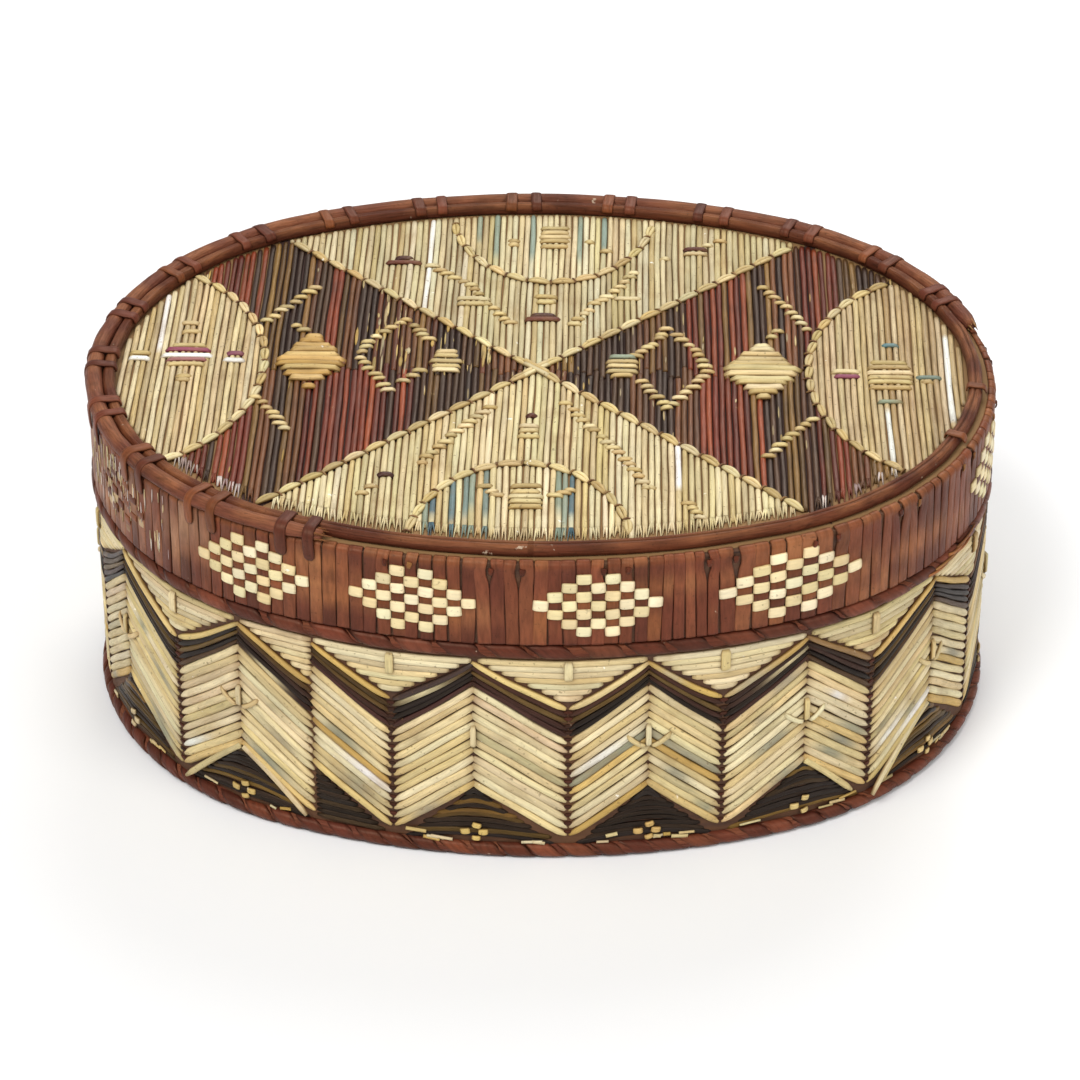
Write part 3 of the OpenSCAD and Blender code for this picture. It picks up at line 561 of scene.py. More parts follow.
def column(heap, x, y0, y1, col, w=CREAM_W, worn=0.0, frayed=False, meet=False, fade=None, tip=None):
    """One upright lid quill. Its ends dip into the bark, split at the front rim, or meet another at y = 0."""
    if y1 - y0 < 1.6:
        return
    rim = y0
    y0 += (SPLIT_L + jit(0.9)) if frayed else 0.15 + jit(0.3)
    y1 -= 0.15 + jit(0.3)
    if y1 - y0 < 1.2:
        return
    n = max(9, int((y1 - y0) / 2.4) + 6)
    y = y0 + (y1 - y0) * (0.5 - 0.5 * np.cos(math.pi * np.linspace(0, 1, n)))
    end = unit(np.minimum((y - y0) / (3.2 if frayed else 1.2), (y1 - y) / 1.2))
    if meet:
        end = np.where(np.abs(y) < 3, 1.0, end)
    ph = rng.uniform(0, PHASE)
    lean = (y - y0) / (y1 - y0)
    drift = 0.14 * np.sin(0.06 * x + 0.04 * y + 0.7) + 0.1 * np.sin(0.09 * y - 0.04 * x + 2.0)
    xs = x + drift + jit(0.08) + jit(0.13) * lean + 0.05 * np.sin(y * rng.uniform(0.1, 0.3) + ph)
    w = w * (1 + jit(0.09))
    width = w * rise(0.35 if frayed else 0.6, np.sqrt(end)) * (1 + 0.07 * np.sin(y * 0.31 + ph * 2))
    height = QUILL_H * (0.92 + jit(0.25)) * rise(0.45, np.sqrt(end))
    # Darker where the quill's ends go into the bark: grime and painted shade
    tints = shade(col, y, rise(0.6, end) if frayed else end)
    if fade is not None:
        keep = np.clip((lean - rng.uniform(0.0, 0.4)) / 0.2 + 0.5, 0.2, 0.95)[:, None]
        tints = blend(fade, tints, keep)
    for bx, b0, b1 in BLEACHED:
        if abs(x - PATTERN_X - bx) < QUILL_PITCH / 2:
            tints = np.where(((y > b0) & (y < b1))[:, None], pick(WHITE, 0.02), tints)
    z = PANEL_Z + 0.04 + abs(jit(0.06)) * lean
    heap.strand(np.stack([xs, y, z], 1), UP, width, height, tints)
    while chance(worn):
        at = rng.uniform(y0, y1)
        sliver(heap, np.interp(at, y, xs), at, w, worn > 0.6)
    if frayed:
        tines(heap, xs[0], rim, w, col if tip is None else tip)


FIELD_LOOKS = {
    "lid_back_cream_quills": (quill_mat, "cream_quill"),
    "lid_front_cream_quills": (quill_mat, "cream_quill"),
    "lid_dark_quills": (dark_mat, "dark_quill"),
    "lid_plum_quills": (dark_mat, "plum_quill"),
    "lid_side_medallion_quills": (soiled_mat, "cream_quill"),
    "lid_end_medallion_quills": (quill_mat, "cream_quill"),
    "lid_blue_quills": (quill_mat, "blue_quill"),
}


def cream_columns(heaps, x, rim, cross):
    """Quills of the back and front sectors at x, cut at the medallions that lie in them."""
    u = x - PATTERN_X
    for side, cx, name, blues, dye in (
        (1, BACK_CX, "lid_back_cream_quills", BACK_BLUE, PALE_BLUE),
        (-1, FRONT_CX, "lid_front_cream_quills", FRONT_BLUE, BLUE),
    ):
        inside = abs(u - cx) < MED_RX
        top = min(med_y(x, cx), rim) if inside else rim
        if top > cross:
            span = (cross, top) if side > 0 else (-top, -cross)
            col = pick(CREAM, 0.1) * (BACK_SOIL if side > 0 else 1)
            column(heaps[name], x, *span, col, frayed=side < 0 and not inside)
        if inside:
            low = max(med_y(x, cx), cross)
            blue = within(u, blues)
            span = (low, rim) if side > 0 else (-rim, -low)
            heap = heaps["lid_blue_quills" if blue else "lid_end_medallion_quills"]
            col = pick(dye if blue else CREAM, 0.13)
            column(heap, x, *span, col, frayed=side < 0, fade=pick(CREAM) if blue else None)


def dyed_columns(heaps, x, y, rim, cross):
    """Quills of the dark sectors at x, above and below the side medallion, whose edge is at y."""
    u = x - PATTERN_X
    middle = jit(3.0) if y == 0 and cross > 6 else 0.0
    for up in (True, False):
        if cross - y <= 0:
            continue
        tones = dye_at(u, up)
        if chance(STRAY_DYE):
            tones = (BLACK, BROWN, GOLD)[rng.randint(3)]
        span = (max(y, middle) if y else middle, cross) if up else (-cross, -y if y else middle)
        at_rim = not up and cross > rim - 0.01
        worn = 0.06 if tones is PLUM else 0.75 if up and within(u, [SKINNED]) else 0.45
        heap = heaps["lid_plum_quills" if tones is PLUM else "lid_dark_quills"]
        col = pick(tones, 0.24)
        tip = pick(FROSTED) if at_rim and chance(0.5) else None
        column(heap, x, *span, col, DYED_W, worn, at_rim, y == 0, tip=tip)


def lid_field():
    heaps = {name: Heap() for name in FIELD_LOOKS}
    count = int(2 * (OVAL_A + FIELD_OFF) / QUILL_PITCH)
    for i in range(count):
        x = (i - (count - 1) / 2) * QUILL_PITCH
        rim, cross = rim_y(x), cross_y(x)
        cream_columns(heaps, x, rim, cross)
        y = min(end_y(x), rim)
        if y > 0:
            column(heaps["lid_side_medallion_quills"], x, -y, y, pick(CREAM, 0.12) * SOILED[x > 0])
        dyed_columns(heaps, x, y, rim, cross)
    for name, (mat, slot) in FIELD_LOOKS.items():
        heaps[name].make(mat, "lid", name, slot)


lid_field()


# Stitches on the lid
def lid_bar(heap, p, q, w, h, col, lift=0.0, bow=0.0):
    """A short quill over the field from p to q in pattern places. Its ends go down between the quills."""
    p, q = np.array(p, float) + (PATTERN_X, 0), np.array(q, float) + (PATTERN_X, 0)
    t = np.linspace(0, 1, 11)
    d = q - p
    size = np.linalg.norm(d)
    nrm = np.array([-d[1], d[0]]) / max(size, 1e-6)
    xy = p + d * t[:, None] + nrm * (bow * arch(t))[:, None]
    end = ends(t, 0, 1, min(0.5, 0.9 / max(size, 0.1)))
    full = np.sqrt(end)
    path = np.column_stack([xy, QUILL_TOP - 0.6 + 0.5 * full + lift])
    width = w * rise(0.75, full) * (1 + jit(0.1))
    # The ends darken strongly where they go down between the quills: grime and painted shade
    tints = shade(col, xy[:, 0] + xy[:, 1], rise(0.1, end))
    heap.strand(path, UP, width, h * rise(0.5, full), tints, 9, 0.25)


def walk_along(pts):
    """Length of a broken line, and a function that gives the point after a walk."""
    pts = np.array(pts, float)
    d = run(pts)
    return d[-1], lambda a: np.array([np.interp(a, d, pts[:, 0]), np.interp(a, d, pts[:, 1])])


def couched(heap, pts, pitch=6.0):
    """Line of leaf-shaped stitches, each a doubled quill, with a dark thread where two of them meet."""
    total, at = walk_along(pts)
    n = max(1, round(total / pitch))
    t = np.linspace(0, 1, 13)
    hump = arch(t) ** 0.7
    across = np.linspace(0, 1, 7)[:, None]
    for i in range(n):
        p, q = (at(j * total / n) + (PATTERN_X, 0) for j in (i, i + 1))
        d = (q - p) / np.linalg.norm(q - p)
        nrm = np.array([-d[1], d[0]])
        slant = 0.5 + jit(0.3)
        col = pick(STITCH, 0.14)
        for e in (-1, 1):
            side = e * (0.46 + jit(0.08)) * hump + slant * (0.5 - t)
            xy = p + (q - p) * t[:, None] + nrm * side[:, None]
            z = QUILL_TOP - 0.55 + 0.5 * hump + (0.08 if e > 0 else 0.0)
            # Each half darkens towards its pinched ends: painted shade
            tints = shade(col * (1 + jit(0.08)), t * 6, unit(0.1 + 1.3 * hump))
            heap.strand(np.column_stack([xy, z]), UP, rise(0.35, hump), 0.7 * rise(0.4, hump), tints)
        c = p + nrm * slant * 0.5
        a, b = c - nrm * 0.9 + d * jit(0.2), c + nrm * 0.9
        path = np.column_stack([blend(a, b, across), QUILL_TOP - 0.35 + 0.45 * arch(across)])
        heap.strand(path, UP, 0.45, 0.3, pick(THREAD), 7)


# Reach of the cross's couched lines from the middle, and of the bars that tie it there
CROSS_FROM, CROSS_TO, CROSS_TIE = 1.2, 57.5, 3


def cross_couching():
    h = Heap()
    for u in (-1, 1):
        for v in (-1, 1):
            couched(h, [(u * r, v * r * SLOPE) for r in (CROSS_FROM, CROSS_TO)])
    for e in (-0.7, 0.7):
        for way, lift in ((1, 0.15), (-1, 0.35)):
            y = way * CROSS_TIE * SLOPE
            lid_bar(h, (-CROSS_TIE, e - y), (CROSS_TIE, e + y), 1.2, 0.7, pick(STITCH), lift)
    h.make(quill_mat, "lid", "lid_cross_couching", "stitch_quill")


def medallion_couching():
    h = Heap()
    a = np.radians(np.linspace(-80, 80, 40))
    for side, cx in ((1, BACK_CX), (-1, FRONT_CX)):
        couched(h, np.column_stack([cx + MED_RX * np.sin(a), side * (MED_C - MED_RY * np.cos(a))]), 5.6)
    a = np.radians(np.linspace(-63, 63, 40))
    for side in (-1, 1):
        couched(h, np.column_stack([side * (END_CX - END_RX * np.cos(a)), END_RY * np.sin(a)]), 5.6)
    h.make(quill_mat, "lid", "lid_medallion_couching", "stitch_quill")


# Solid diamonds: middle, half width, half height and dye
SATIN = ((-50, 2.2, 7.4, 11.8, ["#c9a562", "#d3b374", "#bd9650"]), (49.8, 0.2, 8.2, 11.8, STITCH))
SATIN_ROWS, TORN_ROW = 12, 1


def satin_diamonds():
    """Solid diamonds of level quills; the left one is darker and torn at its foot."""
    h = Heap()
    for cx, cy, half, reach, tones in SATIN:
        for j in range(SATIN_ROWS):
            t = (j + 0.5) / SATIN_ROWS * 2 - 1
            if cx < 0 and j == TORN_ROW:
                continue
            w = half * (1 - abs(t)) + 0.9
            y = cy + reach * t
            lid_bar(h, (cx - w + jit(0.5), y + jit(0.3)), (cx + w + jit(0.5), y + jit(0.3)), 1.85 + jit(0.2),
                    0.8, pick(tones, 0.14), 0.1 + jit(0.08), jit(0.5))
    h.make(quill_mat, "lid", "lid_satin_diamonds", "stitch_quill")


# Chains of short stitches, as the points that each one steps through
CHAINS = (
    ((-25, 45.7), (-16, 37.7), (-12, 29.2), (-6.5, 20.2)),
    ((41, 59.2), (38.5, 57)), ((21.5, 43.7), (17.5, 35.7), (13, 29.7), (8, 20.2)),
    ((-9.5, -16.3), (-14, -22.8), (-20, -32.3), (-23.5, -39.3)), ((-34, -49.3), (-35.5, -51.5)),
    ((7, -14.8), (11.5, -22.8), (18, -33.3), (25, -48.3)), ((33, -54.3), (36, -60)),
    ((-51, 35.2), (-57, 26.2), (-61, 20.2)), ((-61, -13.3), (-57, -18.8), (-54, -26.3)),
    ((-54, 18.2), (-52.5, 15.8)),
    ((-29.5, 21.5), (-37, 13), (-39.5, 5), (-36, -2), (-32, -9.3)),
    ((-27.5, 18.5), (-24.5, 13)), ((-25.5, -1), (-29, -5.5)),
    ((29, 18.2), (25.5, 11), (22, 6.2)), ((23, -4.3), (26, -9.8), (29, -15.8)),
    ((31, 15.7), (36, 7.7), (38, 0.2)), ((37, -2.3), (34, -7.8), (30.5, -13.8)),
    ((51, 37.7), (52.5, 34.2), (57.5, 26), (60, 19.2)), ((60.5, -19.8), (56, -26), (50.5, -34.8)),
    ((53.5, 17.7), (52.5, 15.2)),
    ((-9.5, -49), (-7, -52)), ((5, -52), (8.5, -49.5)),
)


def stitch_lines():
    h = Heap()
    for pts in CHAINS:
        total, at = walk_along(pts)
        n = max(2, round(total / 2.5) + 1)
        for i in range(n):
            c = at(total * i / (n - 1)) + rng.uniform(-0.3, 0.3, 2)
            half = 1.5 + jit(0.3)
            lid_bar(h, c - (half, jit(0.35)), c + (half, jit(0.35)), 1.3, 0.6, pick(STITCH, 0.16), jit(0.06))
    h.make(quill_mat, "lid", "lid_stitch_lines", "stitch_quill")


PURPLE = STITCH + ["#8a4a5c", "#b98a80"]
GREEN = STITCH + ["#6f8f86", "#8f9c80"]
RED_BAR = ["#5a2c1c", "#6b3620", "#4a2418"]
# Stacks of level bars: centre, rows, width and dye
STACKS = (
    (3, 60, 5, 7.5, STITCH + WHITE), (-6.5, 57.2, 2, 3, STITCH), (11, 57.7, 1, 3, STITCH),
    (15, 54, 1, 3, STITCH), (-1, -52.5, 5, 8, STITCH),
    (-77.5, 8.7, 1, 8, STITCH), (-77.5, 6.6, 1, 10.5, ["#8a3f52"]), (-77.5, 4.5, 1, 11, WHITE),
    (-77.5, 2.4, 1, 10, ["#a9706c"]), (-77.5, 0.3, 1, 8, STITCH), (-78, 18.5, 1, 5, STITCH),
    (-77.5, 14.6, 1, 5, STITCH), (-77.5, -5.5, 2, 3.4, STITCH),
    (-88, 5.0, 1, 5, GREEN), (-88, 2.8, 1, 4.4, WHITE), (-67, 4.9, 1, 4.6, PURPLE), (-67, 2.7, 1, 4, WHITE),
    (77.8, -0.8, 6, 11, STITCH), (78.5, 11.7, 1, 4.4, ["#5f8a8a"]), (77.5, -12.3, 1, 5.6, GREEN),
    (68.3, 0.3, 1, 7, STITCH), (68.5, -1.6, 1, 6, PURPLE), (86.3, -1.8, 1, 6.4, ["#7a8a78"]),
    (86, -4, 1, 3, STITCH), (-20, 3.2, 5, 7, GREEN), (19, 1.7, 5, 7.4, GREEN),
    (1.5, 31, 2, 6, STITCH), (1, 23.6, 1, 5, RED_BAR), (1, 21.8, 1, 9, RED_BAR),
    (-31.5, 49, 1, 5, RED_BAR), (-31.5, 47, 1, 9, RED_BAR), (35.5, 54.6, 1, 4.6, RED_BAR),
    (35.5, 52.8, 1, 6, STITCH), (-15.3, 29.8, 2, 7, STITCH), (20, 31.7, 1, 6.4, STITCH),
    (28.5, 50.2, 1, 3, STITCH), (-1, -26, 3, 5, STITCH), (-0.5, -20.3, 1, 3, RED_BAR),
    (-31, -44.8, 1, 3.4, RED_BAR),
)
BAR_PITCH = 2.1


def bar_motifs():
    h = Heap()
    for cx, cy, n, w, tones in STACKS:
        for j in range(n):
            from_mid = j - (n - 1) / 2
            y = cy + from_mid * BAR_PITCH + jit(0.2)
            half = w / 2 * (1 - 0.5 * abs(from_mid) / n) + jit(0.5)
            bow = 0.35 if tones is RED_BAR else jit(0.3)
            lid_bar(h, (cx - half, y + jit(0.2)), (cx + half, y + jit(0.2)), 1.45 + jit(0.15), 0.65,
                    pick(tones, 0.14), jit(0.05), bow)
    h.make(quill_mat, "lid", "lid_bar_motifs", "stitch_quill")


cross_couching()
medallion_couching()
satin_diamonds()
stitch_lines()
bar_motifs()


# Lid band
def clock(f):
    """The turn f in degrees, counted from the right end of the box."""
    return math.degrees(f) - 90


def has_cap(s):
    return CAP_FROM + CAP_END < clock(float(turn_at(s))) < CAP_TO - CAP_END


# Places of the two lashings of a pair
PAIR = (-3, 3)
LASHINGS = [(RIM_FROM + i * ROUND_L / RIM_PAIRS + e, e > 0) for i in range(RIM_PAIRS) for e in PAIR]
BROKEN = np.array([s for s, _ in LASHINGS if not has_cap(s)])
# Broader strips under one front diamond: its number, half their stretch, how far its ends move out, and the
# lengths to its left and right that make up for it
BROAD_DIAMOND, BROAD_HALF, BROAD_SHIFT, BROAD_LEFT, BROAD_RIGHT = 4, 13.5, 3.0, 15, 36


def strip_s(i):
    """Walk to the edge of strip i."""
    s = i * ROUND_L / STRIP_N
    gap = signed(s - FRONT_WALKS[BROAD_DIAMOND])
    far = np.abs(gap) - BROAD_HALF
    spare = unit(1 - far / np.where(gap < 0, BROAD_LEFT, BROAD_RIGHT))
    return s + BROAD_SHIFT * np.sign(gap) * np.where(far < 0, 1 + far / BROAD_HALF, spare)


def strip_frame(i):
    """Middle of strip i on the hoop, its direction along the band, its outward normal and its width."""
    p, q, w, d, out = chord(*strip_s(np.array([i, i + 1])), HOOP_OFF)
    return (p + q) / 2, d, out, w


CHECK_ROWS = (1, 2, 3, 4, 3, 4, 3, 2, 1)
CHECK_MID = (LID_Z + HOOP_TOP) / 2
CHECK_ROW = (HOOP_TOP - LID_Z) * 0.22
CHECK_H = CHECK_ROW * 0.58
# The front diamond whose checks have worn away, the slivers left there, and the dusty stretch of the band
WORN_DIAMOND, WORN_SLIVERS = 0, 90
DUSTY_FROM, DUSTY_TO = -165, -72


def diamond_walks():
    """Walk to each diamond: the front ones as measured, the others spread over the rest of the band."""
    last = FRONT_WALKS[-1]
    rest = ROUND_L + FRONT_WALKS[0] - last
    return FRONT_WALKS + tuple(last + rest * (i + 1) / (BACK_DIAMONDS + 1) for i in range(BACK_DIAMONDS))


def check_cells():
    """Diamond number, strip number and height of every woven check."""
    for d, s in enumerate(diamond_walks()):
        first = round(s * STRIP_N / ROUND_L) - len(CHECK_ROWS) // 2
        for c, rows in enumerate(CHECK_ROWS):
            for j in range(rows):
                yield d, first + c, CHECK_MID + (j - (rows - 1) / 2) * CHECK_ROW


RUB_N = 44
# Rubbed patches of the band: walk, height, half length, half height and strength
RUBBED = [
    (rng.uniform(0, ROUND_L), CHECK_MID + jit(9), rng.uniform(3, 11), rng.uniform(1.5, 5),
     rng.uniform(0.3, 0.9))
    for _ in range(RUB_N)
]


def strip_rub_and_highlight(s, z, tip):
    """How worn a strip is along its height: patches that run over its neighbours, its own, and the fold,
    which is lighter from wear and painted highlight.
    """
    # The fold takes the worn colour: wear and painted highlight where the strip rounds over the edge
    rub_and_highlight = rng.uniform(0.25, 0.7) * tip
    if chance(0.25):
        own = rng.uniform(0.3, 0.8) * np.exp(-((z - CHECK_MID - jit(7)) / rng.uniform(1.5, 6)) ** 2)
        rub_and_highlight = np.maximum(rub_and_highlight, own)
    for at, mid, half_l, half_h, amount in RUBBED:
        gap = signed(s - at)
        rub_and_highlight = np.maximum(rub_and_highlight, amount * np.exp(-(gap / half_l) ** 2 - ((z - mid) / half_h) ** 2))
    return rub_and_highlight


def strip_tints(s, z, tip):
    tints = shade(pick(ROOT, 0.1), z, np.ones_like(z))
    rub_and_highlight = strip_rub_and_highlight(s, z, tip)[:, None]
    # Worn colour over rubbed patches and the fold, partly painted highlight on the fold
    tints = blend(tints, pick(WORN_ROOT_AND_HIGHLIGHT, 0.12), rub_and_highlight)
    if DUSTY_FROM < signed(s) < DUSTY_TO:
        dusty = rng.uniform(0.2, 0.7) * np.exp(-((z - CHECK_MID - jit(6)) / 6) ** 2)[:, None]
        tints = blend(tints, lin("#b98a68"), dusty)
    return tints


def strips(heap):
    """Upright strips, rounded over the hoop's edge and pushed aside by the broken lashings."""
    fold = np.concatenate([np.zeros(13), [-0.06, 0.0, 0.25, 0.7, 1.15]])
    tip = np.concatenate([np.zeros(12), [0.1, 0.3, 0.55, 0.85, 1.0, 1.0]])
    for i in range(STRIP_N):
        s = strip_s(i + 0.5)
        mid, d, out, pitch = strip_frame(i)
        crest = FOLD_TOP - 0.42 + jit(0.1)
        z = np.concatenate([[LID_Z + 0.03 + abs(jit(0.25))], np.linspace(LID_Z + 0.6, crest - 1.6, 12),
                            crest - np.array([1.0, 0.5, 0.15, 0.0, 0.05])])
        gap = signed(s - BROKEN)
        near = gap[np.argmin(np.abs(gap))]
        push = 0.5 * np.sign(near) * np.exp(-((FOLD_TOP - 2.8 - z) / 2.2) ** 2) * (abs(near) < 2.2)
        lat = jit(0.35) * (z - CHECK_MID) / 10 + push
        path = mid + out * (TOUCH - fold + jit(0.06))[:, None] + d * lat[:, None] + UP * z[:, None]
        up = blend(out, UP, tip[:, None])
        width = (pitch - 0.05) * (1 + jit(0.07)) * (1 + 0.03 * np.sin(z * 0.5 + i)) - 0.6 * np.abs(push)
        tints = strip_tints(s, z, tip)
        heap.strand(path, up, width, 0.46 * (1 + jit(0.15)), tints, 9, 0.9)


def bulges(heap):
    """Where a strip comes forward between two checks."""
    cells = {}
    for d, i, z in check_cells():
        cells.setdefault((d, i), []).append(z)
    t = np.linspace(-1, 1, 7)
    for (_, i), zs in cells.items():
        mid, _, out, pitch = strip_frame(i)
        for below, above in zip(zs, zs[1:]):
            z = (below + above) / 2 + t * (CHECK_ROW - CHECK_H) * 0.5
            path = mid + out * (0.3 + 0.2 * (1 - t ** 2))[:, None] + UP * z[:, None]
            # Darker towards its ends, where it goes under the checks: painted shade
            tints = shade(pick(RIM, 0.1), z, 1 - 0.5 * t ** 4)
            heap.strand(path, out, (pitch - 0.2) * (1 - 0.06 * t ** 2), 0.3, tints, 9, 0.7)


def root_strips():
    h = Heap()
    strips(h)
    bulges(h)
    h.make(root_mat, "lid", "lid_root_strips", "split_root")


def checks():
    """Woven checks, and the pale slivers where one diamond has worn away."""
    h = Heap()
    t = np.linspace(-1, 1, 9)
    for d, i, z in check_cells():
        mid, along, out, pitch = strip_frame(i)
        half = pitch / 2 * (0.97 + jit(0.05))
        worn = d == WORN_DIAMOND
        if worn and chance(0.35):
            continue
        stand = 0.1 if worn else STRIP_T
        path = mid + along * (t * half)[:, None] + out * (stand - 0.22 * t ** 4)[:, None]
        path[:, 2] = z + jit(0.18) + t * jit(0.15)
        col = pick(WORN_CHECK if worn else CHECK, 0.06)
        width = CHECK_H * (1 + jit(0.06)) * (1 - 0.1 * t ** 4)
        # Each check darkens towards its ends, where it curves in under the strip: painted shade
        h.strand(path, out, width, 0.42, shade(col, t * 3, 1 - 0.55 * t ** 6), 9, 0.75)
    t = np.linspace(0, 1, 5)
    for _ in range(WORN_SLIVERS):
        z = CHECK_MID + jit(7.5) + t * rng.uniform(1, 6)
        s = FRONT_WALKS[WORN_DIAMOND] + jit(20) + jit(0.3) * t
        p, nrm = on_oval(s, 0.02, np.minimum(z, HOOP_TOP - 1))
        width = rng.uniform(0.2, 0.5) * arch(0.08 + 0.84 * t)
        h.strand(p, nrm, width, 0.14, pick(TAN + FROSTED, 0.15), 5)
    h.make(check_mat, "lid", "lid_check_quills", "cream_quill")


root_strips()
checks()


# Roots
def sweep(f0, f1, profile, tones, node, slot, body="lid", closed=True, n=420, worn=0.0, groove_shade=0.0,
          splinters=0):
    """A root swept round the oval. Profile is the section, or a function of the turn that gives it."""
    f = np.linspace(f0, f1, n, endpoint=not closed)
    ph = rng.uniform(0, PHASE, 8)
    swell = 1 + 0.06 * (np.sin(f * 9 + ph[0]) + np.sin(f * 23 + ph[1]) + 0.7 * np.sin(f * 47 + ph[2])) / 2.7
    wob = 0.05 * (np.sin(f * 13 + ph[3]) + np.sin(f * 31 + ph[4]))
    if not closed:
        swell = swell * rise(0.7, ends(np.arange(n), 0, n - 1, 4))
    c0, c1, rub_and_highlight = lin(tones[0]), lin(tones[1]), lin(WORN_ROOT_AND_HIGHLIGHT[2])
    h = Heap()
    for i in range(n):
        prof = np.array(profile(f[i]) if callable(profile) else profile, float)
        low, high = prof[:, 1].min(), prof[:, 1].max()
        for _ in range(2):
            nxt = np.roll(prof, -1, 0)
            prof = np.stack([blend(prof, nxt, 0.25), blend(prof, nxt, 0.75)], 1).reshape(-1, 2)
        mid = prof.mean(0)
        p = mid + (prof - mid) * swell[i]
        p[:, 1] = np.clip(p[:, 1], low, high)
        p[:, 0] += wob[i]
        k = len(p)
        x, y, _, _ = oval_pt(np.full(k, f[i]), p[:, 0])
        tone = 0.5 + 0.35 * math.sin(f[i] * 5 + ph[5]) + 0.15 * math.sin(f[i] * 19 + ph[0])
        top = unit((p[:, 1] - low) / (high - low) * 2 - 1)
        patch = unit(0.55 + 0.5 * math.sin(f[i] * 17 + ph[6]) + 0.4 * math.sin(f[i] * 41 + ph[7]))
        # The top of the section takes the worn colour in patches: wear and painted highlight
        tints = blend(blend(c0, c1, tone), rub_and_highlight, (worn * top * patch)[:, None])
        across = (p[:, 0] - p[:, 0].min()) / np.ptp(p[:, 0])
        # Darker along the groove in the top of the bare inner root: painted shade
        dark = 1 - groove_shade * bare(f[i]) * (top * np.exp(-((across - 0.5) / 0.07) ** 2))[:, None]
        h.add(np.stack([x, y, p[:, 1]], -1), tints * dark,
              np.stack([np.full(k, f[i] * 85), np.linspace(0, 1, k)], -1))
    idx = np.arange(n * k).reshape(n, k)
    for i in range(n if closed else n - 1):
        a, b = idx[i], idx[(i + 1) % n]
        h.f += np.stack([a, b, np.roll(b, -1), np.roll(a, -1)], -1).tolist()
    if not closed:
        h.f += [idx[0].tolist(), idx[-1][::-1].tolist()]
        for f_end, way in ((f0, -1), (f1, 1)):
            for _ in range(splinters):
                splinter(h, f_end, way, low + 0.4, high - 0.5)
    h.make(ring_mat, body, node, slot)


def splinter(heap, f_end, way, low, high):
    """One fibre sticking out of a broken root."""
    t = np.linspace(0, 1, 6)
    off, z = rng.uniform(-2.8, -0.2), rng.uniform(low, high)
    x, y, _, _ = oval_pt(f_end + way * (t * rng.uniform(0.6, 3.5) - 1.2) / END_R, off + jit(0.3) * t)
    heap.strand(np.stack([x, y, z + jit(0.3) * t], -1), (0, 0, 1), 0.7 * (1 - 0.8 * t), 0.45 * (1 - 0.7 * t),
                pick(["#b07a48", "#8f5a34", "#c79a66"]), 5)


def ring_profile(z0, h, bulge):
    return [(RING_IN, z0), (bulge - 1.1, z0), (bulge + 0.05, z0 + 0.9), (bulge + 0.05, z0 + h - 0.9),
            (bulge - 1.1, z0 + h), (RING_IN, z0 + h)]


def bare(f):
    """Whether the inner root lies bare at this turn, with no cap outside it."""
    return not CAP_FROM < clock(f) < CAP_TO


# Width of the inner root under the cap and where it lies bare
ROOT_PRESSED, ROOT_BARE = 2.65, 3.0


def inner_root(f):
    """Section of the inner root: pressed narrow under the cap, wide where the cap is gone."""
    a = clock(f)
    near = min(abs(a - CAP_FROM), abs(a - CAP_TO), abs(a + 360 - CAP_TO))
    w = blend(ROOT_PRESSED, ROOT_BARE, 0.5 + (0.5 if bare(f) else -0.5) * min(1, near / 2))
    z = PANEL_Z + TOUCH
    h = ROOT_TOP - z
    o = ROOT_OFF - 0.1
    return [(o, z), (o - 0.05, z + h * 0.6), (o + w * 0.18, z + h), (o + w * 0.42, z + h),
            (o + w * 0.5, z + h - 0.3 * bare(f)), (o + w * 0.58, z + h - 0.05), (o + w * 0.82, z + h - 0.1),
            (o + w + 0.1, z + h * 0.55), (o + w, z)]


CAP_Z = FOLD_TOP + TOUCH
CAP = [(-3.25, CAP_Z), (0.3, CAP_Z), (0.5, CAP_Z + 1.2), (-0.5, CAP_Z + 2.55), (-2.5, CAP_Z + 2.55),
       (-3.35, CAP_Z + 1.3)]
# How far the foot ring and the shoulder ring stand out from the oval
FOOT_OUT, SHOULDER_OUT = 0.45, 0.2
sweep(0, TAU, ring_profile(0, FOOT_H, FOOT_OUT), ["#703a29", "#623023"], "foot_ring", "dark_root", "base",
      worn=0.3)
sweep(0, TAU, ring_profile(SHOULDER_Z, SHOULDER_H, SHOULDER_OUT), ["#5d2b1d", "#6a3423"], "shoulder_ring",
      "dark_root", "base", worn=0.2)
sweep(0, TAU, inner_root, ["#6a3722", "#57291b"], "lid_inner_rim_root", "split_root", n=720, worn=0.5,
      groove_shade=0.45)
sweep(math.radians(CAP_FROM + 90), math.radians(CAP_TO + 90), CAP, ["#6b3a2b", "#7b4632"],
      "lid_rim_cap_root", "dark_root", closed=False, n=320, worn=0.5, splinters=9)


def over_section(prof, n):
    """Walk along a section and the offsets and heights there, with its corners eased."""
    prof = np.array(prof, float)
    d = run(prof)
    u = np.linspace(0, d[-1], n)
    off, z = np.interp(u, d, prof[:, 0]), np.interp(u, d, prof[:, 1])
    for _ in range(2):
        off, z = (np.convolve(np.pad(a, 1, mode="edge"), [0.25, 0.5, 0.25], "valid") for a in (off, z))
    return u, off, z, np.gradient(off), np.gradient(z)


